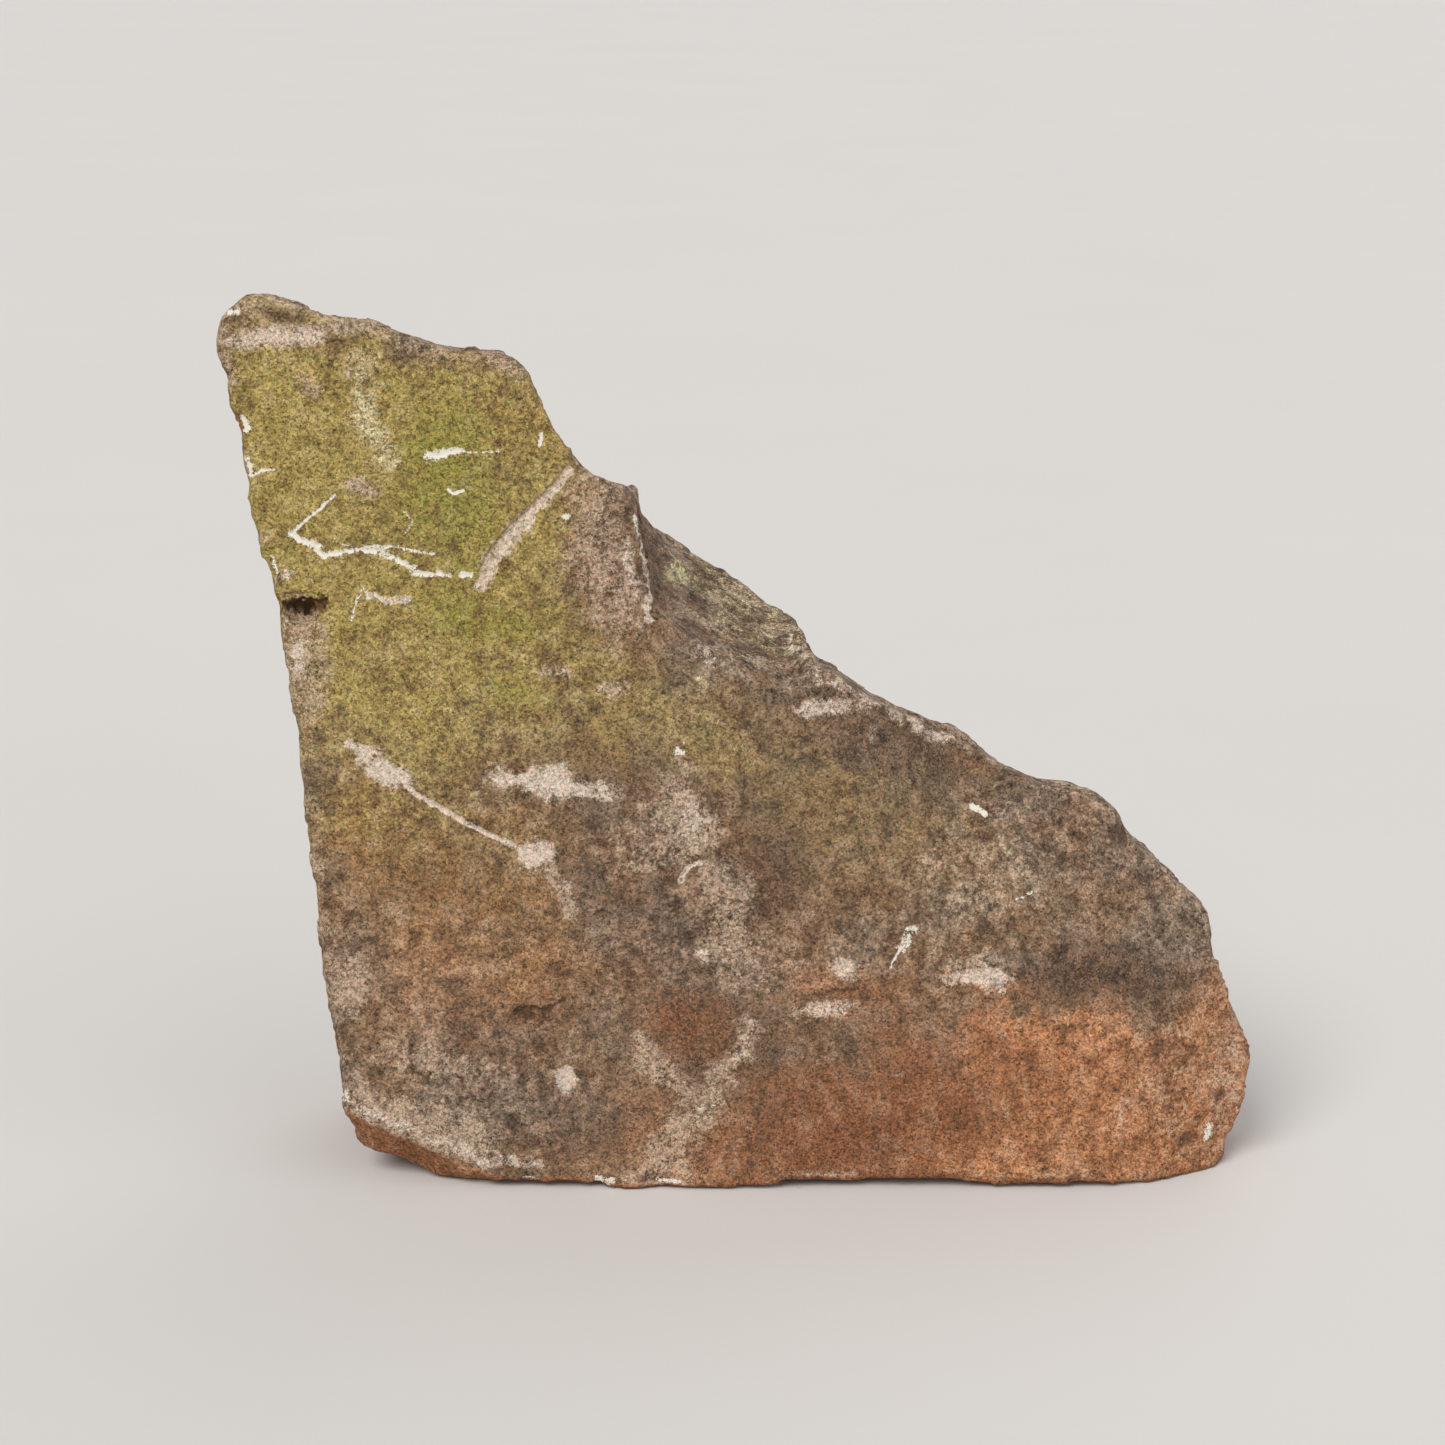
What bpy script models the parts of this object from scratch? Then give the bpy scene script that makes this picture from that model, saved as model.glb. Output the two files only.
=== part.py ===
"""A broken slab of stone that stands on its lower break, as one closed solid.

The stone is shaped lying against an upright bench frame first: X runs across its face, Z up the
face and Y back from it, with the face at Y = 0. Its outline is cut from thick stock, the shelf,
the scooped break, the shoulder and the back are split off it, and it is weathered. It is then
leaned back, cut level where it bears on the floor, and centred over the origin with +Z up.
"""

import math

import bmesh
import bpy
from mathutils import Matrix, Vector, noise

# Overall sizes, in metres
WIDTH = 0.513
FACE_HEIGHT = 0.4455
FOOT_THICKNESS = 0.150
TOP_LAND = 0.024

# Lean of the face and of the back from upright, and slope of the back below the crown, in degrees
LEAN = 8.0
BACK_LEAN = 1.0
CROWN_SLOPE = 52.0

# Shelf behind the front layer, scooped break and right shoulder: slopes are metres per metre back
LEDGE_CLIMB = 0.39
LAYER_UNDERCUT = 0.10
BREAK_UNDERCUT = 0.22
BREAK_LIP = 0.002
RIM_DEPTH = 0.055
RIM_FALL = 0.24

# Rounding of the face towards the shoulder and the right end
ROLL_WIDTH = 0.080
ROLL_DEPTH = 0.030
ROLL_EASE = 0.012

# Arches under the foot, pit by the left edge and dish in the crown: half sizes across, back, up
FRONT_ARCH = (0.046, 0.070, 0.008)
LOW_ARCH = (0.078, 0.060, 0.003)
PIT = (0.010, 0.009, 0.0045)
CROWN_DISH = (0.020, 0.012, 0.010)

# Weathering: spacing and height of slow waves and small lumps, and of the foot's own waves
WAVE_SIZE = 0.110
WAVE_HEIGHT = 0.0035
LUMP_SIZE = 0.034
LUMP_HEIGHT = 0.0014
BACK_LUMPS = 1.6
FACE_SHARE = 0.45
FOOT_WAVE = 0.012
BEARING_CUT = 0.0015

# Mesh: size of the even grid, share of its triangles that is kept, and weld distance
CELL = 0.0042
TRIANGLE_SHARE = 0.15
WELD = 0.00002

# Waste beyond the stone
STOCK = 1.2
SKY = 0.54
OVERCUT = 0.3

STONE_COLOUR = (0.29, 0.24, 0.17, 1.0)
STONE_ROUGHNESS = 0.9

# Outline of the face, clockwise: shares of the width from the left end and of the face height
CROWN = [
    (0.0, 0.945), (0.005, 0.975), (0.015, 0.99), (0.03, 1.0), (0.055, 1.0), (0.075, 0.99),
    (0.09, 0.985), (0.115, 0.981), (0.14, 0.975), (0.16, 0.965), (0.2, 0.944), (0.225, 0.94),
    (0.26, 0.938), (0.284, 0.932),
]
SCOOPED_BREAK = [
    (0.295, 0.92), (0.305, 0.89), (0.315, 0.866), (0.334, 0.832), (0.354, 0.808), (0.368, 0.798),
    (0.386, 0.792),
]
REAR_SHELF = [
    (0.395, 0.76), (0.415, 0.742), (0.43, 0.728), (0.457, 0.704), (0.495, 0.668), (0.515, 0.65),
    (0.535, 0.643), (0.546, 0.633), (0.556, 0.618), (0.558, 0.6),
]
SHOULDER = [
    (0.561, 0.591), (0.578, 0.59), (0.591, 0.578), (0.611, 0.563), (0.634, 0.548), (0.682, 0.522),
    (0.708, 0.507), (0.728, 0.486), (0.758, 0.468), (0.796, 0.454), (0.828, 0.443), (0.85, 0.431),
    (0.868, 0.409), (0.882, 0.381), (0.912, 0.348), (0.938, 0.32), (0.951, 0.307),
]
RIGHT_END = [
    (0.957, 0.283), (0.959, 0.25), (0.973, 0.206), (0.994, 0.16), (1.0, 0.137), (0.998, 0.115),
    (0.994, 0.08), (0.983, 0.05), (0.974, 0.02), (0.965, -0.06),
]
UNDERCUT_FOOT = [(0.24, -0.06), (0.232, 0.0), (0.18, 0.03), (0.135, 0.05), (0.113, 0.07)]
LEFT_EDGE = [
    (0.106, 0.097), (0.095, 0.2), (0.087, 0.284), (0.079, 0.4), (0.071, 0.512), (0.056, 0.61),
    (0.05, 0.67), (0.04, 0.718), (0.032, 0.763), (0.022, 0.844), (0.014, 0.882), (0.006, 0.934),
]

# Edge of the front layer and foot of the shelf, the shelf's hidden end, and the line of the roll
LEDGE_FRONT = [
    (0.376, 0.81), (0.391, 0.775), (0.398, 0.74), (0.406, 0.69), (0.409, 0.665), (0.434, 0.635),
    (0.47, 0.608), (0.508, 0.589), (0.548, 0.57), (0.562, 0.592),
]
BREAK_TIP = [(0.405, 0.801), (0.444, 0.859)]
REAR_END = (0.557, 0.585)
ROLL_LINE = [
    (0.57, 0.585), (0.72, 0.49), (0.84, 0.43), (0.95, 0.30), (0.995, 0.14), (0.97, -0.05),
]

# Planes that the stone split along: a point on the face, its share of the thickness, and facing
BACK_SPLITS = {
    "back_left_waste": ((0.10, 0.0), 0.72, (-0.60, 0.80, 0.03)),
    "back_right_waste": ((0.84, 0.0), 0.80, (0.55, 0.80, 0.16)),
    "back_shoulder_waste": ((0.62, 0.50), 0.70, (0.45, 0.75, 0.48)),
}
FOOT_SPLITS = {
    "undercut_face_waste": ((0.19, 0.048), 0.0, (-0.35, -0.60, -0.72)),
    "undercut_under_waste": ((0.232, -0.005), 0.13, (-0.44, -0.06, -0.90)),
}


def clear_scene():
    """Remove every object that the file opened with."""
    for old in list(bpy.data.objects):
        bpy.data.objects.remove(old, do_unlink=True)


def new_collection(name, hidden=False):
    """Add a collection to the scene, left out of renders when hidden."""
    made = bpy.data.collections.new(name)
    made.hide_render = hidden
    bpy.context.scene.collection.children.link(made)
    return made


def move_to(obj, collection):
    """Keep an object in one collection only."""
    for old in list(obj.users_collection):
        old.objects.unlink(obj)
    collection.objects.link(obj)


def on_face(share):
    """Place a share of the width and of the face height on the face plane."""
    return Vector(((share[0] - 0.5) * WIDTH, share[1] * FACE_HEIGHT))


def bake_modifiers(obj):
    """Turn an object and its modifiers into a plain mesh object of the same name."""
    graph = bpy.context.evaluated_depsgraph_get()
    mesh = bpy.data.meshes.new_from_object(obj.evaluated_get(graph))
    shape = bmesh.new()
    shape.from_mesh(mesh)
    bmesh.ops.remove_doubles(shape, verts=shape.verts, dist=WELD)
    bmesh.ops.recalc_face_normals(shape, faces=shape.faces)
    shape.to_mesh(mesh)
    shape.free()
    name = obj.name
    made = bpy.data.objects.new(name, mesh)
    made.matrix_world = obj.matrix_world
    obj.users_collection[0].objects.link(made)
    bpy.data.objects.remove(obj, do_unlink=True)
    made.name = name
    return made


def prism(name, points, near, far, collection):
    """Extrude an outline on the face from one depth to another, as a closed mesh."""
    curve = bpy.data.curves.new(name, "CURVE")
    curve.dimensions = "2D"
    curve.fill_mode = "BOTH"
    curve.extrude = (far - near) / 2
    spline = curve.splines.new("POLY")
    spline.points.add(len(points) - 1)
    for slot, point in zip(spline.points, points):
        slot.co = (point.x, point.y, 0.0, 1.0)
    spline.use_cyclic_u = True
    flat = bpy.data.objects.new(name, curve)
    collection.objects.link(flat)
    upright = Matrix.Rotation(math.radians(90), 4, "X")
    flat.matrix_world = Matrix.Translation((0, (near + far) / 2, 0)) @ upright
    bpy.context.view_layer.update()
    solid = bake_modifiers(flat)
    solid.data.transform(solid.matrix_world)
    solid.matrix_world = Matrix.Identity(4)
    return solid


def slant(obj, depth, across, up):
    """Slide an object's mesh sideways and up by shares of how far back it lies from a depth."""
    for vertex in obj.data.vertices:
        back = vertex.co.y - depth
        vertex.co.x += across * back
        vertex.co.z += up * back


def split_block(name, point, facing, collection):
    """A block of waste whose one face is the plane through a point, on the side it faces."""
    bpy.ops.mesh.primitive_cube_add(size=STOCK)
    block = bpy.context.object
    block.name = name
    facing = Vector(facing).normalized()
    turn = facing.to_track_quat("Z", "Y").to_matrix().to_4x4()
    block.data.transform(Matrix.Translation(Vector(point) + facing * STOCK / 2) @ turn)
    move_to(block, collection)
    return block


def scoop(name, centre, half_sizes, collection):
    """An egg-shaped piece of waste."""
    bpy.ops.mesh.primitive_uv_sphere_add(segments=32, ring_count=16, radius=1.0)
    egg = bpy.context.object
    egg.name = name
    egg.data.transform(Matrix.Translation(centre) @ Matrix.Diagonal((*half_sizes, 1.0)))
    move_to(egg, collection)
    return egg


def cut(stone, cutter):
    """Take the cutter's shape out of the stone."""
    step = stone.modifiers.new(cutter.name, "BOOLEAN")
    step.operation = "DIFFERENCE"
    step.solver = "EXACT"
    step.object = cutter
    cutter.hide_render = True
    cutter.display_type = "WIRE"


def rough_block(parts):
    """The stone's full outline, a little thicker than the foot."""
    outline = (
        CROWN + SCOOPED_BREAK + REAR_SHELF + SHOULDER + RIGHT_END + UNDERCUT_FOOT + LEFT_EDGE
    )
    points = [on_face(share) for share in outline]
    return prism("stone_slab", points, 0.0, FOOT_THICKNESS + RIM_DEPTH / 4, parts)


def ledge_cutter(cutters):
    """The waste above the shelf behind the front layer; the shelf climbs towards the back."""
    points = [on_face(share) for share in LEDGE_FRONT]
    points += [Vector((points[-1].x, SKY)), Vector((points[0].x, SKY))]
    cutter = prism("ledge_waste", points, -OVERCUT, OVERCUT, cutters)
    slant(cutter, 0.0, -LAYER_UNDERCUT, LEDGE_CLIMB)
    return cutter


def break_cutter(cutters):
    """The waste behind the scooped break, which leaves its front edge sharp."""
    points = [on_face(share) for share in CROWN[-1:] + SCOOPED_BREAK + BREAK_TIP]
    points += [Vector((points[-1].x, SKY)), Vector((points[0].x, SKY))]
    cutter = prism("break_waste", points, BREAK_LIP, OVERCUT, cutters)
    slant(cutter, 0.0, -BREAK_UNDERCUT, -BREAK_UNDERCUT)
    return cutter


def shoulder_cutter(cutters):
    """The waste behind the right shoulder's rim, which falls away towards the back."""
    points = [on_face(share) for share in [REAR_END] + SHOULDER[1:] + RIGHT_END[:3]]
    beyond = points[-1].x + OVERCUT
    points += [Vector((beyond, points[-1].y)), Vector((beyond, SKY))]
    points += [Vector((points[0].x, SKY))]
    cutter = prism("shoulder_waste", points, RIM_DEPTH, OVERCUT, cutters)
    slant(cutter, RIM_DEPTH, 0.0, -RIM_FALL)
    return cutter


def split_cutters(splits, cutters):
    """The blocks of waste beyond a table of planes."""
    blocks = []
    for name, (share, depth, facing) in splits.items():
        point = on_face(share)
        place = (point.x, depth * FOOT_THICKNESS, point.y)
        blocks.append(split_block(name, place, facing, cutters))
    return blocks


def main_split_cutters(cutters):
    """The waste behind the back and the crown, and below the underside."""
    taper = math.radians(LEAN - BACK_LEAN)
    lean = math.radians(LEAN)
    slope = math.radians(CROWN_SLOPE)
    crown = on_face((0.2, 0.965))
    back = (0.0, math.cos(taper), math.sin(taper))
    top = (0.04, math.sin(slope), math.cos(slope))
    level = (0.0, math.sin(lean), -math.cos(lean))
    return [
        split_block("back_waste", (0.0, FOOT_THICKNESS, 0.0), back, cutters),
        split_block("crown_waste", (crown.x, TOP_LAND, crown.y), top, cutters),
        split_block("underside_waste", (0.0, 0.0, 0.0), level, cutters),
    ]


def hollow_cutters(cutters):
    """The arches under the foot, the pit by the left edge and the dish in the crown."""
    arch = on_face((0.66, 0.0))
    low = on_face((0.40, 0.0))
    pit = on_face((0.079, 0.657))
    dish = on_face((0.118, 0.988))
    return [
        scoop("front_arch_waste", (arch.x, 0.0, 0.0), FRONT_ARCH, cutters),
        scoop("low_arch_waste", (low.x, 0.0, 0.0), LOW_ARCH, cutters),
        scoop("pit_waste", (pit.x, 0.0, pit.y), PIT, cutters),
        scoop("crown_dish_waste", (dish.x, TOP_LAND / 2, dish.y), CROWN_DISH, cutters),
    ]


def ease(share):
    """A smooth step from 0 to 1."""
    share = min(max(share, 0.0), 1.0)
    return share * share * (3.0 - 2.0 * share)


def gap_to_line(x, z, line):
    """How far a point on the face lies from a line of points, with the corners eased."""
    total = 0.0
    for start, end in zip(line, line[1:]):
        run = end - start
        here = Vector((x, z)) - start
        along = min(max(here.dot(run) / run.length_squared, 0.0), 1.0)
        total += math.exp(-(here - run * along).length / ROLL_EASE)
    return -ROLL_EASE * math.log(total + 1e-30)


def roll_shoulder(mesh):
    """Ease the front face back towards the right shoulder and the right end."""
    line = [on_face(share) for share in ROLL_LINE]
    start = line[0].x
    for vertex in mesh.vertices:
        x, y, z = vertex.co
        fade = ease(1.0 - y / (FOOT_THICKNESS * 0.6))
        reach = ease((x - start) / ROLL_WIDTH)
        near = min(max(1.0 - gap_to_line(x, z, line) / ROLL_WIDTH, 0.0), 1.0)
        vertex.co.y += fade * reach * ROLL_DEPTH * near**2


def weather(mesh):
    """Give the face, the back and the foot the slow waves and small lumps of a split stone."""
    mesh.update()
    normals = [vertex.normal.copy() for vertex in mesh.vertices]
    for vertex, normal in zip(mesh.vertices, normals):
        wave = noise.noise(vertex.co / WAVE_SIZE + Vector((3.1, 7.7, 1.9)))
        lump = noise.noise(vertex.co / LUMP_SIZE + Vector((8.3, 2.2, 5.6)))
        back = ease((vertex.co.y - 0.02) / 0.05)
        foot = ease(-normal.z * 4.0 - 2.4)
        height = WAVE_HEIGHT * wave + LUMP_HEIGHT * lump * (1.0 + BACK_LUMPS * back)
        height *= FACE_SHARE + (1.0 - FACE_SHARE) * back
        height += foot * FOOT_WAVE * (wave - 0.5 * abs(lump))
        vertex.co += normal * height


def lean_and_centre(mesh):
    """Lean the stone back, then bring the middle of its box over the origin."""
    mesh.transform(Matrix.Rotation(math.radians(-LEAN), 4, "X"))
    mesh.transform(Matrix.Translation((0.0, 0.0, -BEARING_CUT)))
    above = [vertex.co for vertex in mesh.vertices if vertex.co.z > 0.0]
    middle_x = (min(p.x for p in above) + max(p.x for p in above)) / 2
    middle_y = (min(p.y for p in above) + max(p.y for p in above)) / 2
    mesh.transform(Matrix.Translation((-middle_x, -middle_y, 0.0)))


def stone_material():
    """Weathered stone, brown with age."""
    made = bpy.data.materials.new("weathered_stone")
    made.use_nodes = True
    shader = made.node_tree.nodes["Principled BSDF"]
    shader.inputs["Base Color"].default_value = STONE_COLOUR
    shader.inputs["Roughness"].default_value = STONE_ROUGHNESS
    shader.inputs["Metallic"].default_value = 0.0
    return made


def even_grid(stone):
    """Turn the split block into an even grid with its arrises just taken off."""
    grid = stone.modifiers.new("even_grid", "REMESH")
    grid.mode = "VOXEL"
    grid.voxel_size = CELL
    soften = stone.modifiers.new("soften", "SMOOTH")
    soften.factor = 0.4
    soften.iterations = 1
    return bake_modifiers(stone)


def thin_out(stone):
    """Keep only the triangles that the shape needs."""
    thin = stone.modifiers.new("thin_out", "DECIMATE")
    thin.ratio = TRIANGLE_SHARE
    thin.use_collapse_triangulate = True
    return bake_modifiers(stone)


def build_stone():
    """Make the slab in its collection, with its cutters in another."""
    parts = new_collection("granite_slab")
    cutters = new_collection("cutters", hidden=True)
    stone = rough_block(parts)
    waste = [ledge_cutter(cutters), break_cutter(cutters), shoulder_cutter(cutters)]
    waste += main_split_cutters(cutters)
    waste += split_cutters(BACK_SPLITS, cutters)
    waste += split_cutters(FOOT_SPLITS, cutters)
    for block in waste:
        cut(stone, block)
    stone = even_grid(stone)
    roll_shoulder(stone.data)
    weather(stone.data)
    for hollow in hollow_cutters(cutters):
        cut(stone, hollow)
    stone = thin_out(stone)
    lean_and_centre(stone.data)
    cut(stone, split_block("floor_waste", (0.0, 0.0, 0.0), (0.0, 0.0, -1.0), cutters))
    stone.data.materials.append(stone_material())
    stone.data.shade_smooth()


def main():
    """Build the model in an empty scene."""
    clear_scene()
    build_stone()


main()
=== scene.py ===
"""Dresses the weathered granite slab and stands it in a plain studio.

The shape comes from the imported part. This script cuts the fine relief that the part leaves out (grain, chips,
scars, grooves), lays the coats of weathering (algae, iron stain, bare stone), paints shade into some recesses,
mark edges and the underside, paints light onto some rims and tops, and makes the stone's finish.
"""

import logging
import math
from dataclasses import dataclass, field
from enum import Enum

import bmesh
import bpy
import numpy as np
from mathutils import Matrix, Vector


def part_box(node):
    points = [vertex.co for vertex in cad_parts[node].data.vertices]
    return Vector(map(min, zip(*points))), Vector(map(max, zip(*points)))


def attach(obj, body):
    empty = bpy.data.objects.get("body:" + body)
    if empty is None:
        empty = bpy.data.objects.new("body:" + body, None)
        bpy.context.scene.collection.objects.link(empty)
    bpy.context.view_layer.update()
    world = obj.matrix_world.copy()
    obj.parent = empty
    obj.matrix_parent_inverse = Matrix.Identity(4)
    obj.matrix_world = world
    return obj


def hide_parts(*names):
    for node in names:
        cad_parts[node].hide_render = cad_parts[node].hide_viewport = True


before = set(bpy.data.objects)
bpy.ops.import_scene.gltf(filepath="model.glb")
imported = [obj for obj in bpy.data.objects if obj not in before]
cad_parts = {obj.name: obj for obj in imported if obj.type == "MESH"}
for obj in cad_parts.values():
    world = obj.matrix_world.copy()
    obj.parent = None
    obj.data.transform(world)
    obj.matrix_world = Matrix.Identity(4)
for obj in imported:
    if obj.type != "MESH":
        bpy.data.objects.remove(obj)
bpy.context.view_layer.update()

log = logging.getLogger("granite_slab")

Colour = tuple[float, float, float]

NODE = "stone_slab"
BODY = "root"
MM = 0.001

# Odd whole numbers that scramble a lattice cell's place into a draw.
CELL_MIX = (0x9E3779B1, 0x85EBCA77, 0xC2B2AE3D)
SEED_MIX = 0x27D4EB2F
SEED_STEP = 31
STIRS = ((15, 0x2C1B3C6D), (12, 0x297A2D39))
ALL_BITS = 0xFFFFFFFF


class Coat(Enum):
    """What can lie on the stone, and the painted shade and painted highlight that some coats also carry, each
    held as one number from 0 to 1 at every point of the surface.
    """

    ALGAE = "algae"
    GREEN = "green"
    OCHRE = "ochre"
    IRON = "iron"
    GREY = "grey"
    PALE = "pale"
    BARE_AND_HIGHLIGHT = "bare_and_highlight"
    CHALK = "chalk"
    SOIL_AND_SHADE = "soil_and_shade"
    RUST_AND_SHADE = "rust_and_shade"
    CRUST = "crust"
    ROUGH = "rough"
    FILM = "film"


class Pattern(Enum):
    """The noises that shape the stone and its coats, each with the seed that sets it apart."""

    WOBBLE = 5
    FRAY = 7
    SWELL = 11
    LUMPS = 12
    GRIT = 13
    CHIPS = 14
    SMALL_CHIPS = 15
    NICKS = 16
    BITES = 17
    SLABS = 18
    PATCHES = 21
    SWIRL_ACROSS = 31
    SWIRL_UP = 32
    SHIFT_ACROSS = 33
    SHIFT_UP = 34
    FOOT = 91


@dataclass(frozen=True)
class Dab:
    """One soft oval of a coat, and the dish that lies under it.

    The centre is given as shares of the stone's width and height. The half sizes and the depth are in
    millimetres, and lip says how much more deeply the dish is cut at its upper rim than at its lower one.
    """

    coat: Coat
    across: float
    up: float
    wide: float
    high: float
    turn: float = 0.0
    strength: float = 1.0
    soft: float = 0.5
    ragged: float = 0.35
    depth: float = 0.0
    lip: float = 0.0


@dataclass(frozen=True)
class Stroke:
    """One line of a coat through several points, and the groove that lies under it.

    The points are shares of the stone's width and height. The width and the depth are in millimetres, and
    taper is the width at the end beside the width at the start.
    """

    coat: Coat
    path: tuple[tuple[float, float], ...]
    width: float
    strength: float = 1.0
    soft: float = 0.4
    ragged: float = 0.5
    depth: float = 0.0
    fine: bool = True
    taper: float = 1.0


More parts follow.
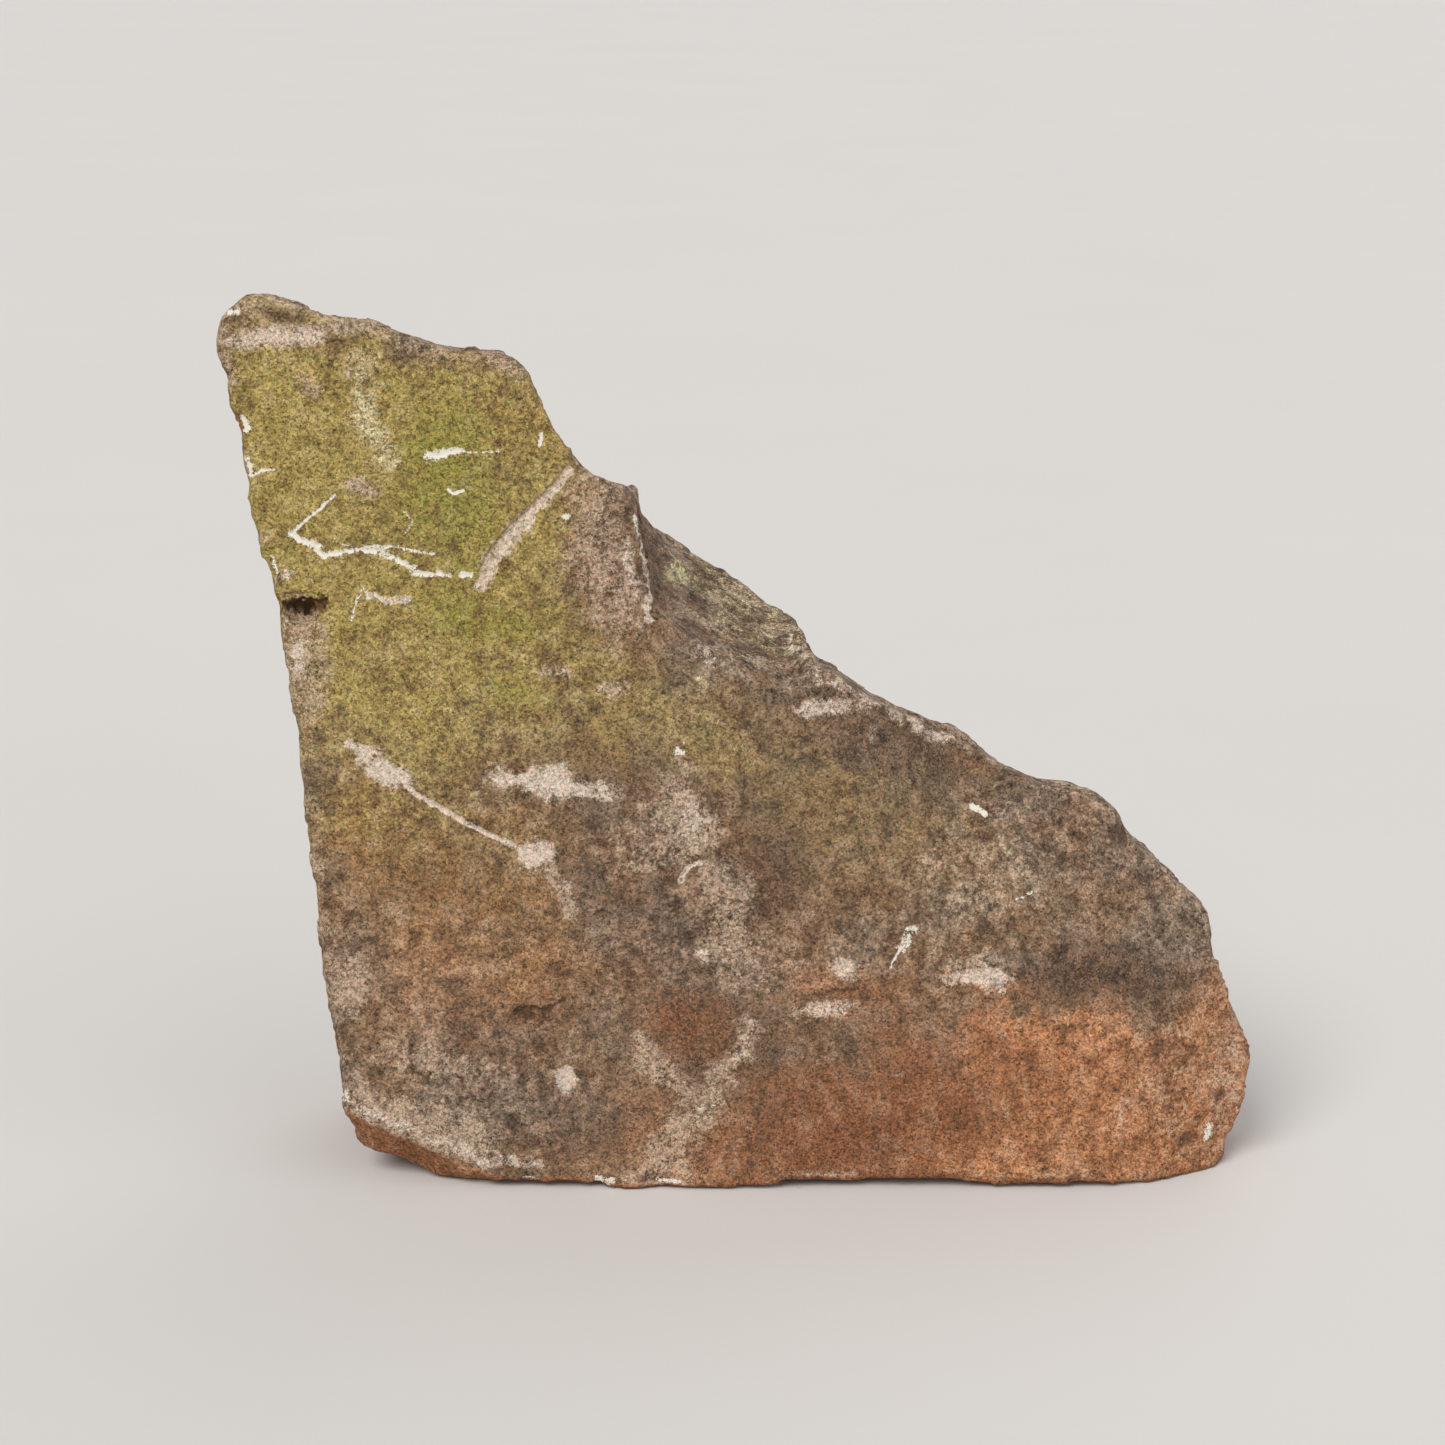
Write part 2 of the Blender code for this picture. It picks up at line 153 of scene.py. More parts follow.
# Broad coats that lie over whole parts of the stone.
ZONES = (
    Dab(Coat.ALGAE, 0.11, 0.83, 92, 76, turn=-8, soft=0.55),
    Dab(Coat.ALGAE, 0.03, 0.88, 30, 46, strength=0.75, soft=0.7),
    Dab(Coat.ALGAE, 0.11, 0.63, 54, 34, strength=0.74, soft=1.0),
    Dab(Coat.ALGAE, 0.25, 0.65, 54, 28, turn=-22, strength=0.82, soft=0.9),
    Dab(Coat.ALGAE, 0.18, 0.54, 66, 24, turn=-8, strength=0.52, soft=0.8),
    Dab(Coat.ALGAE, 0.37, 0.55, 54, 20, turn=-26, strength=0.36, soft=0.8),
    Dab(Coat.ALGAE, 0.51, 0.50, 66, 28, turn=-28, strength=0.25, soft=0.9, ragged=0.8),
    Dab(Coat.ALGAE, 0.67, 0.42, 60, 30, turn=-24, strength=0.17, soft=0.9),
    Dab(Coat.ALGAE, 0.12, 0.45, 44, 20, strength=0.30, soft=0.9),
    Dab(Coat.ALGAE, 0.20, 0.42, 66, 34, turn=-10, strength=0.20, soft=0.9),
    Dab(Coat.GREEN, 0.205, 0.80, 26, 46, turn=-6, strength=0.95, soft=0.8),
    Dab(Coat.GREEN, 0.24, 0.645, 36, 12, turn=-12, strength=0.85, soft=0.8),
    Dab(Coat.GREEN, 0.27, 0.57, 22, 9, turn=-20, strength=0.6, soft=0.8),
    Dab(Coat.OCHRE, 0.300, 0.87, 22, 38, turn=20, strength=0.7, soft=1.0),
    Dab(Coat.OCHRE, 0.340, 0.74, 18, 36, turn=28, strength=0.45, soft=1.0),
    Dab(Coat.OCHRE, 0.17, 0.36, 60, 48, strength=0.95, soft=0.8),
    Dab(Coat.OCHRE, 0.28, 0.28, 46, 26, turn=-15, strength=0.75, soft=0.8),
    Dab(Coat.OCHRE, 0.58, 0.35, 54, 28, strength=0.4, soft=0.9),
    Dab(Coat.IRON, 0.82, 0.07, 104, 50),
    Dab(Coat.IRON, 0.95, 0.10, 38, 49, soft=0.7),
    Dab(Coat.IRON, 0.66, 0.12, 46, 30, strength=0.5, soft=0.8),
    Dab(Coat.IRON, 0.60, 0.06, 74, 34, turn=10, strength=0.8, soft=0.8),
    Dab(Coat.IRON, 0.58, 0.24, 30, 14, strength=0.5, soft=0.9),
    Dab(Coat.IRON, 0.74, 0.24, 24, 9, turn=-10, strength=0.5, soft=0.9),
    Dab(Coat.IRON, 0.44, 0.19, 22, 14, strength=0.35, soft=0.9),
    Dab(Coat.IRON, 0.24, 0.24, 60, 30, strength=0.30, soft=0.9),
    Dab(Coat.IRON, 0.43, 0.07, 30, 34, turn=-20, strength=0.38, soft=0.9),
    Dab(Coat.RUST_AND_SHADE, 0.60, 0.09, 72, 40, turn=10, strength=0.95, soft=0.9),
    Dab(Coat.RUST_AND_SHADE, 0.45, 0.19, 26, 16, strength=0.36, soft=0.9),
    Dab(Coat.RUST_AND_SHADE, 0.61, 0.24, 30, 10, turn=8, strength=0.45, soft=0.9),
    Dab(Coat.GREY, 0.89, 0.36, 50, 42, turn=-50, strength=0.95, soft=1.0),
    Dab(Coat.GREY, 0.82, 0.25, 60, 13, turn=-4, strength=0.95, soft=0.8, ragged=0.6),
    Dab(Coat.GREY, 0.60, 0.30, 54, 22, turn=6, strength=0.6, soft=0.9, ragged=0.6),
    Dab(Coat.GREY, 0.48, 0.665, 56, 28, turn=-38, soft=0.4),
    Dab(Coat.GREY, 0.62, 0.50, 78, 24, turn=-29, strength=0.75, soft=0.8),
    Dab(Coat.GREY, 0.83, 0.41, 44, 26, turn=-42, strength=0.8, soft=0.8),
    Dab(Coat.GREY, 0.43, 0.31, 42, 40, turn=30, strength=0.8, soft=0.8, ragged=0.6),
    Dab(Coat.GREY, 0.25, 0.12, 58, 28, turn=-4, strength=0.85, soft=0.8, ragged=0.6),
    Dab(Coat.GREY, 0.11, 0.30, 16, 34, strength=0.6, soft=0.9, ragged=0.7),
    Dab(Coat.GREY, 0.05, 0.980, 32, 7, strength=0.4, soft=0.6),
    Dab(Coat.PALE, 0.045, 0.990, 30, 8, strength=0.55, soft=0.7),
    Dab(Coat.ALGAE, 0.08, 0.985, 34, 6, turn=-10, strength=0.30, soft=0.7),
    Dab(Coat.FILM, 0.830, 0.242, 52, 13, turn=-6, strength=0.8, soft=0.8, ragged=0.9),
    Dab(Coat.FILM, 0.87, 0.34, 44, 30, turn=-45, strength=0.22, soft=0.9),
    Dab(Coat.FILM, 0.66, 0.50, 70, 15, turn=-28, strength=0.6, soft=0.9),
    Dab(Coat.FILM, 0.60, 0.46, 60, 22, turn=-26, strength=0.35, soft=0.9),
    Dab(Coat.FILM, 0.48, 0.665, 50, 24, turn=-38, strength=0.75, soft=0.7),
    Dab(Coat.CRUST, 0.49, 0.655, 48, 20, turn=-38, strength=0.36, soft=0.6),
    Dab(Coat.ALGAE, 0.46, 0.68, 44, 18, turn=-38, strength=0.34, soft=0.8),
    Dab(Coat.FILM, 0.515, 0.375, 20, 30, turn=-12, strength=0.65, soft=0.9),
    Dab(Coat.FILM, 0.46, 0.185, 34, 24, strength=0.6, soft=0.9),
    Dab(Coat.FILM, 0.36, 0.08, 36, 24, strength=0.45, soft=0.9),
    Dab(Coat.FILM, 0.36, 0.66, 22, 34, turn=24, strength=0.45, soft=0.9),
    Dab(Coat.FILM, 0.37, 0.49, 44, 20, turn=-20, strength=0.4, soft=0.9),
    Dab(Coat.FILM, 0.37, 0.34, 38, 24, strength=0.4, soft=0.9),
    Dab(Coat.FILM, 0.20, 0.36, 40, 24, turn=-20, strength=0.35, soft=0.9),
    # Thin pale strips along the crown's top edge: knocked bare stone, and painted light on the top edge.
    Dab(Coat.PALE, 0.055, 0.960, 28, 5, turn=3),
    Dab(Coat.BARE_AND_HIGHLIGHT, 0.060, 0.960, 26, 4.0, turn=3, strength=0.74, soft=0.8),
    Dab(Coat.PALE, 0.140, 0.972, 24, 4, turn=4, strength=0.9),
    Dab(Coat.PALE, 0.20, 0.965, 34, 4, turn=-14, strength=0.6),
    Dab(Coat.ALGAE, 0.27, 0.85, 38, 46, turn=20, strength=0.66, soft=0.8),
    Dab(Coat.PALE, 0.075, 0.585, 13, 26, turn=8, strength=0.6),
    Dab(Coat.PALE, 0.175, 0.085, 38, 15, turn=-14, soft=0.6, ragged=0.7),
    Dab(Coat.PALE, 0.20, 0.150, 28, 8, turn=-6, strength=0.7, soft=0.8, ragged=0.8),
    Dab(Coat.PALE, 0.74, 0.36, 34, 20, turn=20, strength=0.42, soft=0.9, ragged=0.8),
    Dab(Coat.PALE, 0.975, 0.14, 8, 50, turn=-4, strength=0.4, soft=0.9, ragged=0.6),
    Dab(Coat.PALE, 0.925, 0.12, 30, 42, strength=0.36, soft=0.9),
)

# The marks on the face, roughly from the crown down and from left to right.
DABS = (
    Dab(Coat.SOIL_AND_SHADE, 0.062, 0.979, 14, 3.2, turn=-6, strength=0.7, soft=0.7, ragged=0.9, depth=2.2),
    Dab(Coat.RUST_AND_SHADE, 0.075, 0.965, 7, 2.5, strength=0.5, soft=0.6, ragged=0.8),
    Dab(Coat.PALE, 0.132, 0.796, 8, 6, strength=0.85, soft=0.6),
    Dab(Coat.RUST_AND_SHADE, 0.130, 0.798, 5, 4, strength=0.22, soft=1.0),
    Dab(Coat.PALE, 0.140, 0.790, 5, 4, strength=0.8),
    Dab(Coat.PALE, 0.085, 0.905, 8, 5, turn=-30, strength=0.55),
    Dab(Coat.CHALK, 0.326, 0.763, 2.4, 1.6, turn=40, strength=0.95, soft=0.3, depth=0.4),
    Dab(Coat.PALE, 0.357, 0.715, 15, 40, turn=10, strength=0.72, soft=0.6, ragged=0.8),
    Dab(Coat.ROUGH, 0.360, 0.710, 17, 42, turn=10, soft=0.4, ragged=0.4),
    Dab(Coat.BARE_AND_HIGHLIGHT, 0.384, 0.715, 3.5, 14, turn=6, strength=0.55, ragged=0.7),
    Dab(Coat.CRUST, 0.427, 0.664, 8, 3.0, turn=-30, soft=0.3, ragged=0.2, depth=-0.5),
    Dab(Coat.CRUST, 0.452, 0.580, 6, 2.0, turn=-30, strength=0.5, soft=0.4, ragged=0.7, depth=-0.4),
    Dab(Coat.CRUST, 0.408, 0.700, 3, 2, strength=0.7, soft=0.4, ragged=0.7, depth=-0.4),
    Dab(Coat.BARE_AND_HIGHLIGHT, 0.455, 0.610, 9, 2.5, turn=-48, strength=0.5, soft=0.6, ragged=0.8),
    Dab(Coat.BARE_AND_HIGHLIGHT, 0.568, 0.553, 16, 4.2, turn=2, strength=0.70, soft=0.35, ragged=0.5, depth=1.2, lip=0.8),
    Dab(Coat.BARE_AND_HIGHLIGHT, 0.615, 0.520, 2.6, 9, strength=0.4, soft=0.6, ragged=0.6),
    Dab(Coat.PALE, 0.314, 0.588, 9, 4, turn=-12, strength=0.8),
    Dab(Coat.PALE, 0.370, 0.572, 9, 5, turn=-4, strength=0.85),
    Dab(Coat.CHALK, 0.430, 0.503, 2.6, 1.8, strength=0.95, soft=0.3, depth=0.3),
    Dab(Coat.CHALK, 0.437, 0.509, 1.6, 0.9, strength=0.8, soft=0.3),
    Dab(Coat.PALE, 0.435, 0.492, 5, 3, strength=0.5, soft=0.6),
    Dab(Coat.BARE_AND_HIGHLIGHT, 0.150, 0.477, 15, 6.5, turn=-36, soft=0.35, ragged=0.45, depth=0.9, lip=0.5),
    Dab(Coat.BARE_AND_HIGHLIGHT, 0.292, 0.386, 8.5, 7, turn=-20, strength=0.95, soft=0.35, ragged=0.45, depth=0.8,
        lip=0.4),
    Dab(Coat.BARE_AND_HIGHLIGHT, 0.306, 0.470, 30, 6.4, turn=-9, strength=0.82, ragged=0.6, depth=0.9, lip=0.4),
    Dab(Coat.PALE, 0.352, 0.460, 14, 5, turn=-14, strength=0.8),
    Dab(Coat.PALE, 0.438, 0.425, 15, 22, turn=18, ragged=0.8),
    Dab(Coat.BARE_AND_HIGHLIGHT, 0.446, 0.428, 8, 15, turn=24, strength=0.55, soft=0.7, ragged=0.9),
    Dab(Coat.PALE, 0.400, 0.400, 20, 10, turn=8, strength=0.65, soft=0.7, ragged=0.8),
    Dab(Coat.PALE, 0.390, 0.370, 14, 4, turn=10, strength=0.65, ragged=0.8),
    Dab(Coat.PALE, 0.480, 0.310, 14, 30, turn=16, strength=0.85, soft=0.7, ragged=0.8),
    Dab(Coat.PALE, 0.490, 0.250, 20, 10, strength=0.6, soft=0.7, ragged=0.8),
    Dab(Coat.GREY, 0.515, 0.375, 9, 14, turn=-15, strength=0.8, soft=0.6, ragged=0.6),
    Dab(Coat.BARE_AND_HIGHLIGHT, 0.454, 0.271, 3.4, 4.2, strength=0.8, soft=0.4),
    Dab(Coat.BARE_AND_HIGHLIGHT, 0.323, 0.128, 6.2, 8.2, soft=0.3, ragged=0.4, depth=0.8, lip=0.3),
    Dab(Coat.PALE, 0.410, 0.140, 16, 7, turn=-22, strength=0.75, ragged=0.6, depth=0.5),
    Dab(Coat.BARE_AND_HIGHLIGHT, 0.574, 0.212, 18, 6.2, turn=4, strength=0.58, soft=0.4, ragged=0.5, depth=2.2, lip=1.0),
    # A dark band along the scar's upper lip: painted shadow under the lip.
    Dab(Coat.SOIL_AND_SHADE, 0.580, 0.231, 17, 2.0, turn=6, strength=0.75, soft=0.6, ragged=0.6),
    Dab(Coat.BARE_AND_HIGHLIGHT, 0.588, 0.256, 9, 4.5, turn=-50, strength=0.78, ragged=0.7),
    Dab(Coat.BARE_AND_HIGHLIGHT, 0.545, 0.260, 5, 3.5, strength=0.45, ragged=0.8),
    Dab(Coat.BARE_AND_HIGHLIGHT, 0.720, 0.243, 20, 5.0, turn=4, strength=0.95, ragged=0.7, depth=0.8, lip=0.5),
    Dab(Coat.PALE, 0.712, 0.256, 17, 8, strength=0.85, ragged=0.7),
    Dab(Coat.CHALK, 0.952, 0.048, 2.2, 4.6, strength=0.85, soft=0.3),
    Dab(Coat.SOIL_AND_SHADE, 0.963, 0.083, 3.0, 3.6, strength=0.75, ragged=0.9, depth=1.0),
    Dab(Coat.SOIL_AND_SHADE, 0.929, 0.044, 6.5, 3.4, strength=0.7, ragged=0.9, depth=0.9),
    Dab(Coat.BARE_AND_HIGHLIGHT, 0.860, 0.090, 3.6, 10, turn=-10, strength=0.45, soft=0.6, ragged=0.7),
    Dab(Coat.PALE, 0.720, 0.335, 18, 9, strength=0.5, soft=0.6, ragged=0.8),
    Dab(Coat.PALE, 0.690, 0.385, 15, 9, turn=30, strength=0.5, soft=0.7, ragged=0.8),
    Dab(Coat.RUST_AND_SHADE, 0.455, 0.185, 14, 8, turn=12, strength=0.42, soft=0.9, ragged=1.1),
    Dab(Coat.RUST_AND_SHADE, 0.226, 0.169, 5, 4, strength=0.5, soft=0.6, ragged=0.7),
    Dab(Coat.RUST_AND_SHADE, 0.170, 0.147, 7, 4, strength=0.42, soft=0.6, ragged=0.7),
    Dab(Coat.RUST_AND_SHADE, 0.560, 0.300, 9, 6, strength=0.3, soft=0.7, ragged=0.7),
    Dab(Coat.RUST_AND_SHADE, 0.640, 0.265, 12, 5, turn=20, strength=0.32, soft=0.7, ragged=0.7),
    Dab(Coat.RUST_AND_SHADE, 0.298, 0.209, 17, 7, turn=10, strength=0.6, soft=0.8, ragged=1.0, depth=0.6),
    Dab(Coat.SOIL_AND_SHADE, 0.284, 0.203, 8, 2.0, turn=-14, strength=0.75, ragged=1.1, depth=1.0),
    Dab(Coat.SOIL_AND_SHADE, 0.318, 0.250, 6.5, 1.9, turn=12, strength=0.85, ragged=0.7, depth=1.2),
    Dab(Coat.SOIL_AND_SHADE, 0.385, 0.250, 12, 2.6, turn=-64, strength=0.70, soft=0.6, ragged=0.9, depth=0.8),
    Dab(Coat.PALE, 0.106, 0.235, 9, 17, turn=-6, strength=0.85, ragged=0.6),
    Dab(Coat.PALE, 0.112, 0.110, 7, 22, turn=8, strength=0.8, ragged=0.6),
)

# The lines on the face: grooves, cracks, scratches and thin streaks, with a few painted shadows and highlights
# along edges.
STROKES = (
    Stroke(Coat.CRUST, ((0.137, 0.932), (0.132, 0.895)), 17, strength=0.44, soft=0.9, ragged=0.9,
           fine=False),
    Stroke(Coat.CRUST, ((0.134, 0.895), (0.138, 0.865), (0.153, 0.830)), 12, strength=0.56, soft=0.9,
           ragged=0.7, fine=False),
    Stroke(Coat.PALE, ((0.135, 0.935), (0.134, 0.895), (0.138, 0.865), (0.153, 0.830)), 13, strength=0.55,
           soft=0.9, ragged=0.7, fine=False),
    Stroke(Coat.CHALK, ((0.025, 0.806), (0.039, 0.813), (0.050, 0.813)), 1.1, soft=1.0, depth=0.3),
    Stroke(Coat.CHALK, ((0.107, 0.785), (0.090, 0.769), (0.066, 0.745)), 1.3, soft=1.0, depth=0.4),
    Stroke(Coat.CHALK, ((0.066, 0.744), (0.074, 0.737), (0.089, 0.731)), 2.8, soft=1.0, depth=0.6),
    Stroke(Coat.CHALK, ((0.089, 0.731), (0.088, 0.726), (0.095, 0.721), (0.112, 0.723)), 2.6, soft=1.0,
           depth=0.7),
    Stroke(Coat.CHALK, ((0.112, 0.723), (0.128, 0.727), (0.145, 0.726)), 2.2, soft=1.0, depth=0.6),
    Stroke(Coat.CHALK, ((0.145, 0.726), (0.162, 0.716), (0.178, 0.706)), 3.0, soft=1.0, strength=0.85,
           ragged=0.8, depth=0.6),
    Stroke(Coat.CHALK, ((0.104, 0.734), (0.124, 0.729), (0.140, 0.727)), 1.0, soft=1.0, strength=0.6,
           ragged=0.9),
    Stroke(Coat.CHALK, ((0.134, 0.731), (0.173, 0.727), (0.201, 0.722)), 1.6, soft=1.0, strength=0.7,
           ragged=0.9, depth=0.3),
    Stroke(Coat.CHALK, ((0.181, 0.700), (0.196, 0.699)), 2.8, soft=1.0, depth=0.6),
    Stroke(Coat.CHALK, ((0.203, 0.700), (0.214, 0.699)), 2.6, soft=1.0, strength=0.9, ragged=0.8,
           depth=0.5),
    Stroke(Coat.CHALK, ((0.226, 0.699), (0.234, 0.699)), 2.8, soft=1.0, strength=0.95, depth=0.5),
    Stroke(Coat.CHALK, ((0.172, 0.768), (0.180, 0.758), (0.174, 0.745)), 0.9, soft=1.0, strength=0.5,
           ragged=0.9),
    Stroke(Coat.CHALK, ((0.197, 0.829), (0.206, 0.829), (0.216, 0.832), (0.228, 0.834)), 4.2, soft=1.0,
           depth=0.5, taper=0.6),
    Stroke(Coat.CHALK, ((0.229, 0.832), (0.262, 0.834)), 1.0, soft=1.0, strength=0.62, ragged=0.95),
    Stroke(Coat.CHALK, ((0.215, 0.793), (0.219, 0.789), (0.229, 0.792)), 1.5, soft=0.7, ragged=0.8,
           depth=0.3),
    Stroke(Coat.CHALK, ((0.303, 0.851), (0.301, 0.839)), 1.5, soft=1.0, depth=0.3),
    Stroke(Coat.BARE_AND_HIGHLIGHT, ((0.330, 0.815), (0.305, 0.784), (0.285, 0.757), (0.268, 0.735), (0.244, 0.691)), 4.4,
           strength=0.8, soft=0.5, ragged=0.7, depth=1.8, taper=2.1),
    Stroke(Coat.BARE_AND_HIGHLIGHT, ((0.285, 0.766), (0.266, 0.748)), 4.0, strength=0.5, soft=0.6, ragged=0.9, depth=0.8),
    # A thin dark line along the gouge's upper-left edge: painted shadow of that edge.
    Stroke(Coat.SOIL_AND_SHADE, ((0.318, 0.808), (0.288, 0.771), (0.262, 0.742), (0.240, 0.701)), 1.8, strength=0.5,
           soft=0.7, ragged=0.8),
    # The pit at the left edge: its groove is cut, and its dark fill and the thin dark line above it are partly
    # dirt and partly painted shadow of the recess under the ledge.
    Stroke(Coat.SOIL_AND_SHADE, ((0.057, 0.665), (0.075, 0.661), (0.095, 0.669)), 6.4, strength=0.95, soft=0.5,
           ragged=0.9, depth=2.5),
    Stroke(Coat.SOIL_AND_SHADE, ((0.048, 0.676), (0.071, 0.678), (0.086, 0.680)), 1.2, strength=0.6, ragged=0.7),
    Stroke(Coat.PALE, ((0.070, 0.650), (0.071, 0.615), (0.068, 0.590)), 17, strength=0.8, soft=0.6,
           depth=1.4, fine=False),
    Stroke(Coat.BARE_AND_HIGHLIGHT, ((0.052, 0.690), (0.062, 0.695)), 6, strength=0.6, soft=0.6, ragged=0.8, fine=False),
    Stroke(Coat.BARE_AND_HIGHLIGHT, ((0.071, 0.619), (0.070, 0.595)), 6, strength=0.8, soft=0.5, ragged=0.8, fine=False),
    Stroke(Coat.CHALK, ((0.133, 0.683), (0.125, 0.669), (0.120, 0.648)), 1.1, soft=1.0, strength=0.7,
           depth=0.3),
    Stroke(Coat.BARE_AND_HIGHLIGHT, ((0.138, 0.675), (0.155, 0.670), (0.174, 0.671)), 4.2, strength=0.7, ragged=0.6),
    Stroke(Coat.CHALK, ((0.389, 0.763), (0.394, 0.745), (0.398, 0.726)), 1.6, soft=1.0, strength=0.75,
           ragged=0.8),
    Stroke(Coat.BARE_AND_HIGHLIGHT, ((0.398, 0.726), (0.402, 0.692), (0.403, 0.668)), 2.6, strength=0.85, ragged=0.7),
    Stroke(Coat.BARE_AND_HIGHLIGHT, ((0.402, 0.672), (0.402, 0.650)), 4.2, strength=0.7, ragged=0.8),
    # Two pale lines along the rim of the ledge: painted highlight on the rim, laid in the bare stone coat.
    Stroke(Coat.BARE_AND_HIGHLIGHT, ((0.530, 0.612), (0.546, 0.594), (0.576, 0.577), (0.604, 0.565)), 6.0, strength=0.62,
           soft=0.8, ragged=1.1, fine=False),
    Stroke(Coat.BARE_AND_HIGHLIGHT, ((0.604, 0.562), (0.645, 0.530), (0.690, 0.497)), 7.0, strength=0.6, soft=0.6,
           ragged=0.9, fine=False),
    Stroke(Coat.BARE_AND_HIGHLIGHT, ((0.116, 0.513), (0.128, 0.499), (0.150, 0.478)), 4.4, strength=0.7, ragged=0.7),
    Stroke(Coat.BARE_AND_HIGHLIGHT, ((0.170, 0.462), (0.202, 0.439), (0.240, 0.414), (0.272, 0.396)), 3.0, strength=0.85,
           soft=0.35, ragged=0.4, depth=0.8),
    Stroke(Coat.PALE, ((0.300, 0.376), (0.318, 0.352), (0.325, 0.325)), 8.0, strength=0.85, soft=0.5,
           ragged=0.7),
    Stroke(Coat.PALE, ((0.245, 0.484), (0.236, 0.450)), 3.4, strength=0.6, ragged=0.8),
    Stroke(Coat.BARE_AND_HIGHLIGHT, ((0.432, 0.358), (0.438, 0.372), (0.450, 0.378)), 3.0, strength=0.85, depth=0.6),
    Stroke(Coat.PALE, ((0.450, 0.378), (0.468, 0.372), (0.482, 0.346), (0.492, 0.315)), 7.0, strength=0.75,
           ragged=0.7, fine=False),
    Stroke(Coat.BARE_AND_HIGHLIGHT, ((0.122, 0.092), (0.150, 0.078), (0.200, 0.055), (0.243, 0.036), (0.292, 0.027)), 6.5,
           strength=0.62, soft=0.7, ragged=0.8, fine=False),
    Stroke(Coat.BARE_AND_HIGHLIGHT, ((0.505, 0.196), (0.488, 0.160), (0.466, 0.116)), 5.0, strength=0.48, soft=0.8,
           ragged=0.9, fine=False),
    Stroke(Coat.PALE, ((0.500, 0.188), (0.466, 0.116), (0.431, 0.062), (0.400, 0.010)), 11, strength=0.82,
           soft=0.8, ragged=0.8, depth=0.9, fine=False, taper=2.2),
    Stroke(Coat.PALE, ((0.395, 0.175), (0.415, 0.130), (0.445, 0.110)), 8, strength=0.7, soft=0.5,
           ragged=0.7, fine=False),
    Stroke(Coat.CHALK, ((0.655, 0.303), (0.646, 0.282)), 4.4, soft=1.0, strength=0.8, ragged=0.8,
           depth=0.5),
    Stroke(Coat.CHALK, ((0.645, 0.282), (0.634, 0.256)), 1.1, soft=1.0, strength=0.85, ragged=0.8,
           depth=0.3),
    Stroke(Coat.CHALK, ((0.713, 0.426), (0.720, 0.423), (0.727, 0.418)), 2.6, soft=0.5, depth=0.5),
    Stroke(Coat.CHALK, ((0.770, 0.337), (0.755, 0.331)), 1.2, soft=1.0, strength=0.7, ragged=0.8),
    Stroke(Coat.CHALK, ((0.450, 0.093), (0.472, 0.100)), 1.0, soft=1.0, strength=0.55, ragged=0.95),
    Stroke(Coat.CHALK, ((0.445, 0.084), (0.462, 0.086)), 0.9, soft=1.0, strength=0.5, ragged=0.95),
    Stroke(Coat.CHALK, ((0.350, 0.012), (0.364, 0.012)), 3.0, soft=1.0, strength=0.8, ragged=0.8),
    Stroke(Coat.CHALK, ((0.408, 0.011), (0.432, 0.012)), 1.6, soft=1.0, strength=0.7, ragged=0.9),
    Stroke(Coat.CHALK, ((0.276, 0.014), (0.292, 0.012)), 1.0, soft=1.0, strength=0.5, ragged=0.9),
    Stroke(Coat.SOIL_AND_SHADE, ((0.266, 0.208), (0.284, 0.213), (0.302, 0.208), (0.318, 0.219)), 3.0, strength=0.72,
           soft=0.8, ragged=1.3, depth=1.0),
    Stroke(Coat.SOIL_AND_SHADE, ((0.292, 0.214), (0.300, 0.201), (0.295, 0.190)), 2.2, strength=0.65, soft=0.8,
           ragged=1.2, depth=0.8),
    Stroke(Coat.RUST_AND_SHADE, ((0.010, 0.905), (0.018, 0.84), (0.027, 0.775)), 3.0, strength=0.6, soft=0.6,
           fine=False),
    Stroke(Coat.CHALK, ((0.022, 0.868), (0.026, 0.858)), 3.0, soft=1.0, strength=0.85, ragged=0.8,
           depth=0.6),
    Stroke(Coat.CHALK, ((0.026, 0.824), (0.030, 0.808)), 2.6, soft=1.0, strength=0.85, ragged=0.8,
           depth=0.6),
    Stroke(Coat.CHALK, ((0.012, 0.984), (0.020, 0.984)), 2.6, soft=1.0, strength=0.9, depth=0.5),
    Stroke(Coat.CHALK, ((0.105, 0.110), (0.107, 0.104)), 3.0, soft=1.0, strength=0.9, depth=0.4),
    Stroke(Coat.CHALK, ((0.047, 0.720), (0.052, 0.700)), 1.6, soft=1.0, strength=0.7, ragged=0.8),
    Stroke(Coat.SOIL_AND_SHADE, ((0.480, 0.092), (0.476, 0.104)), 1.6, strength=0.6, ragged=0.7, depth=0.6),
)


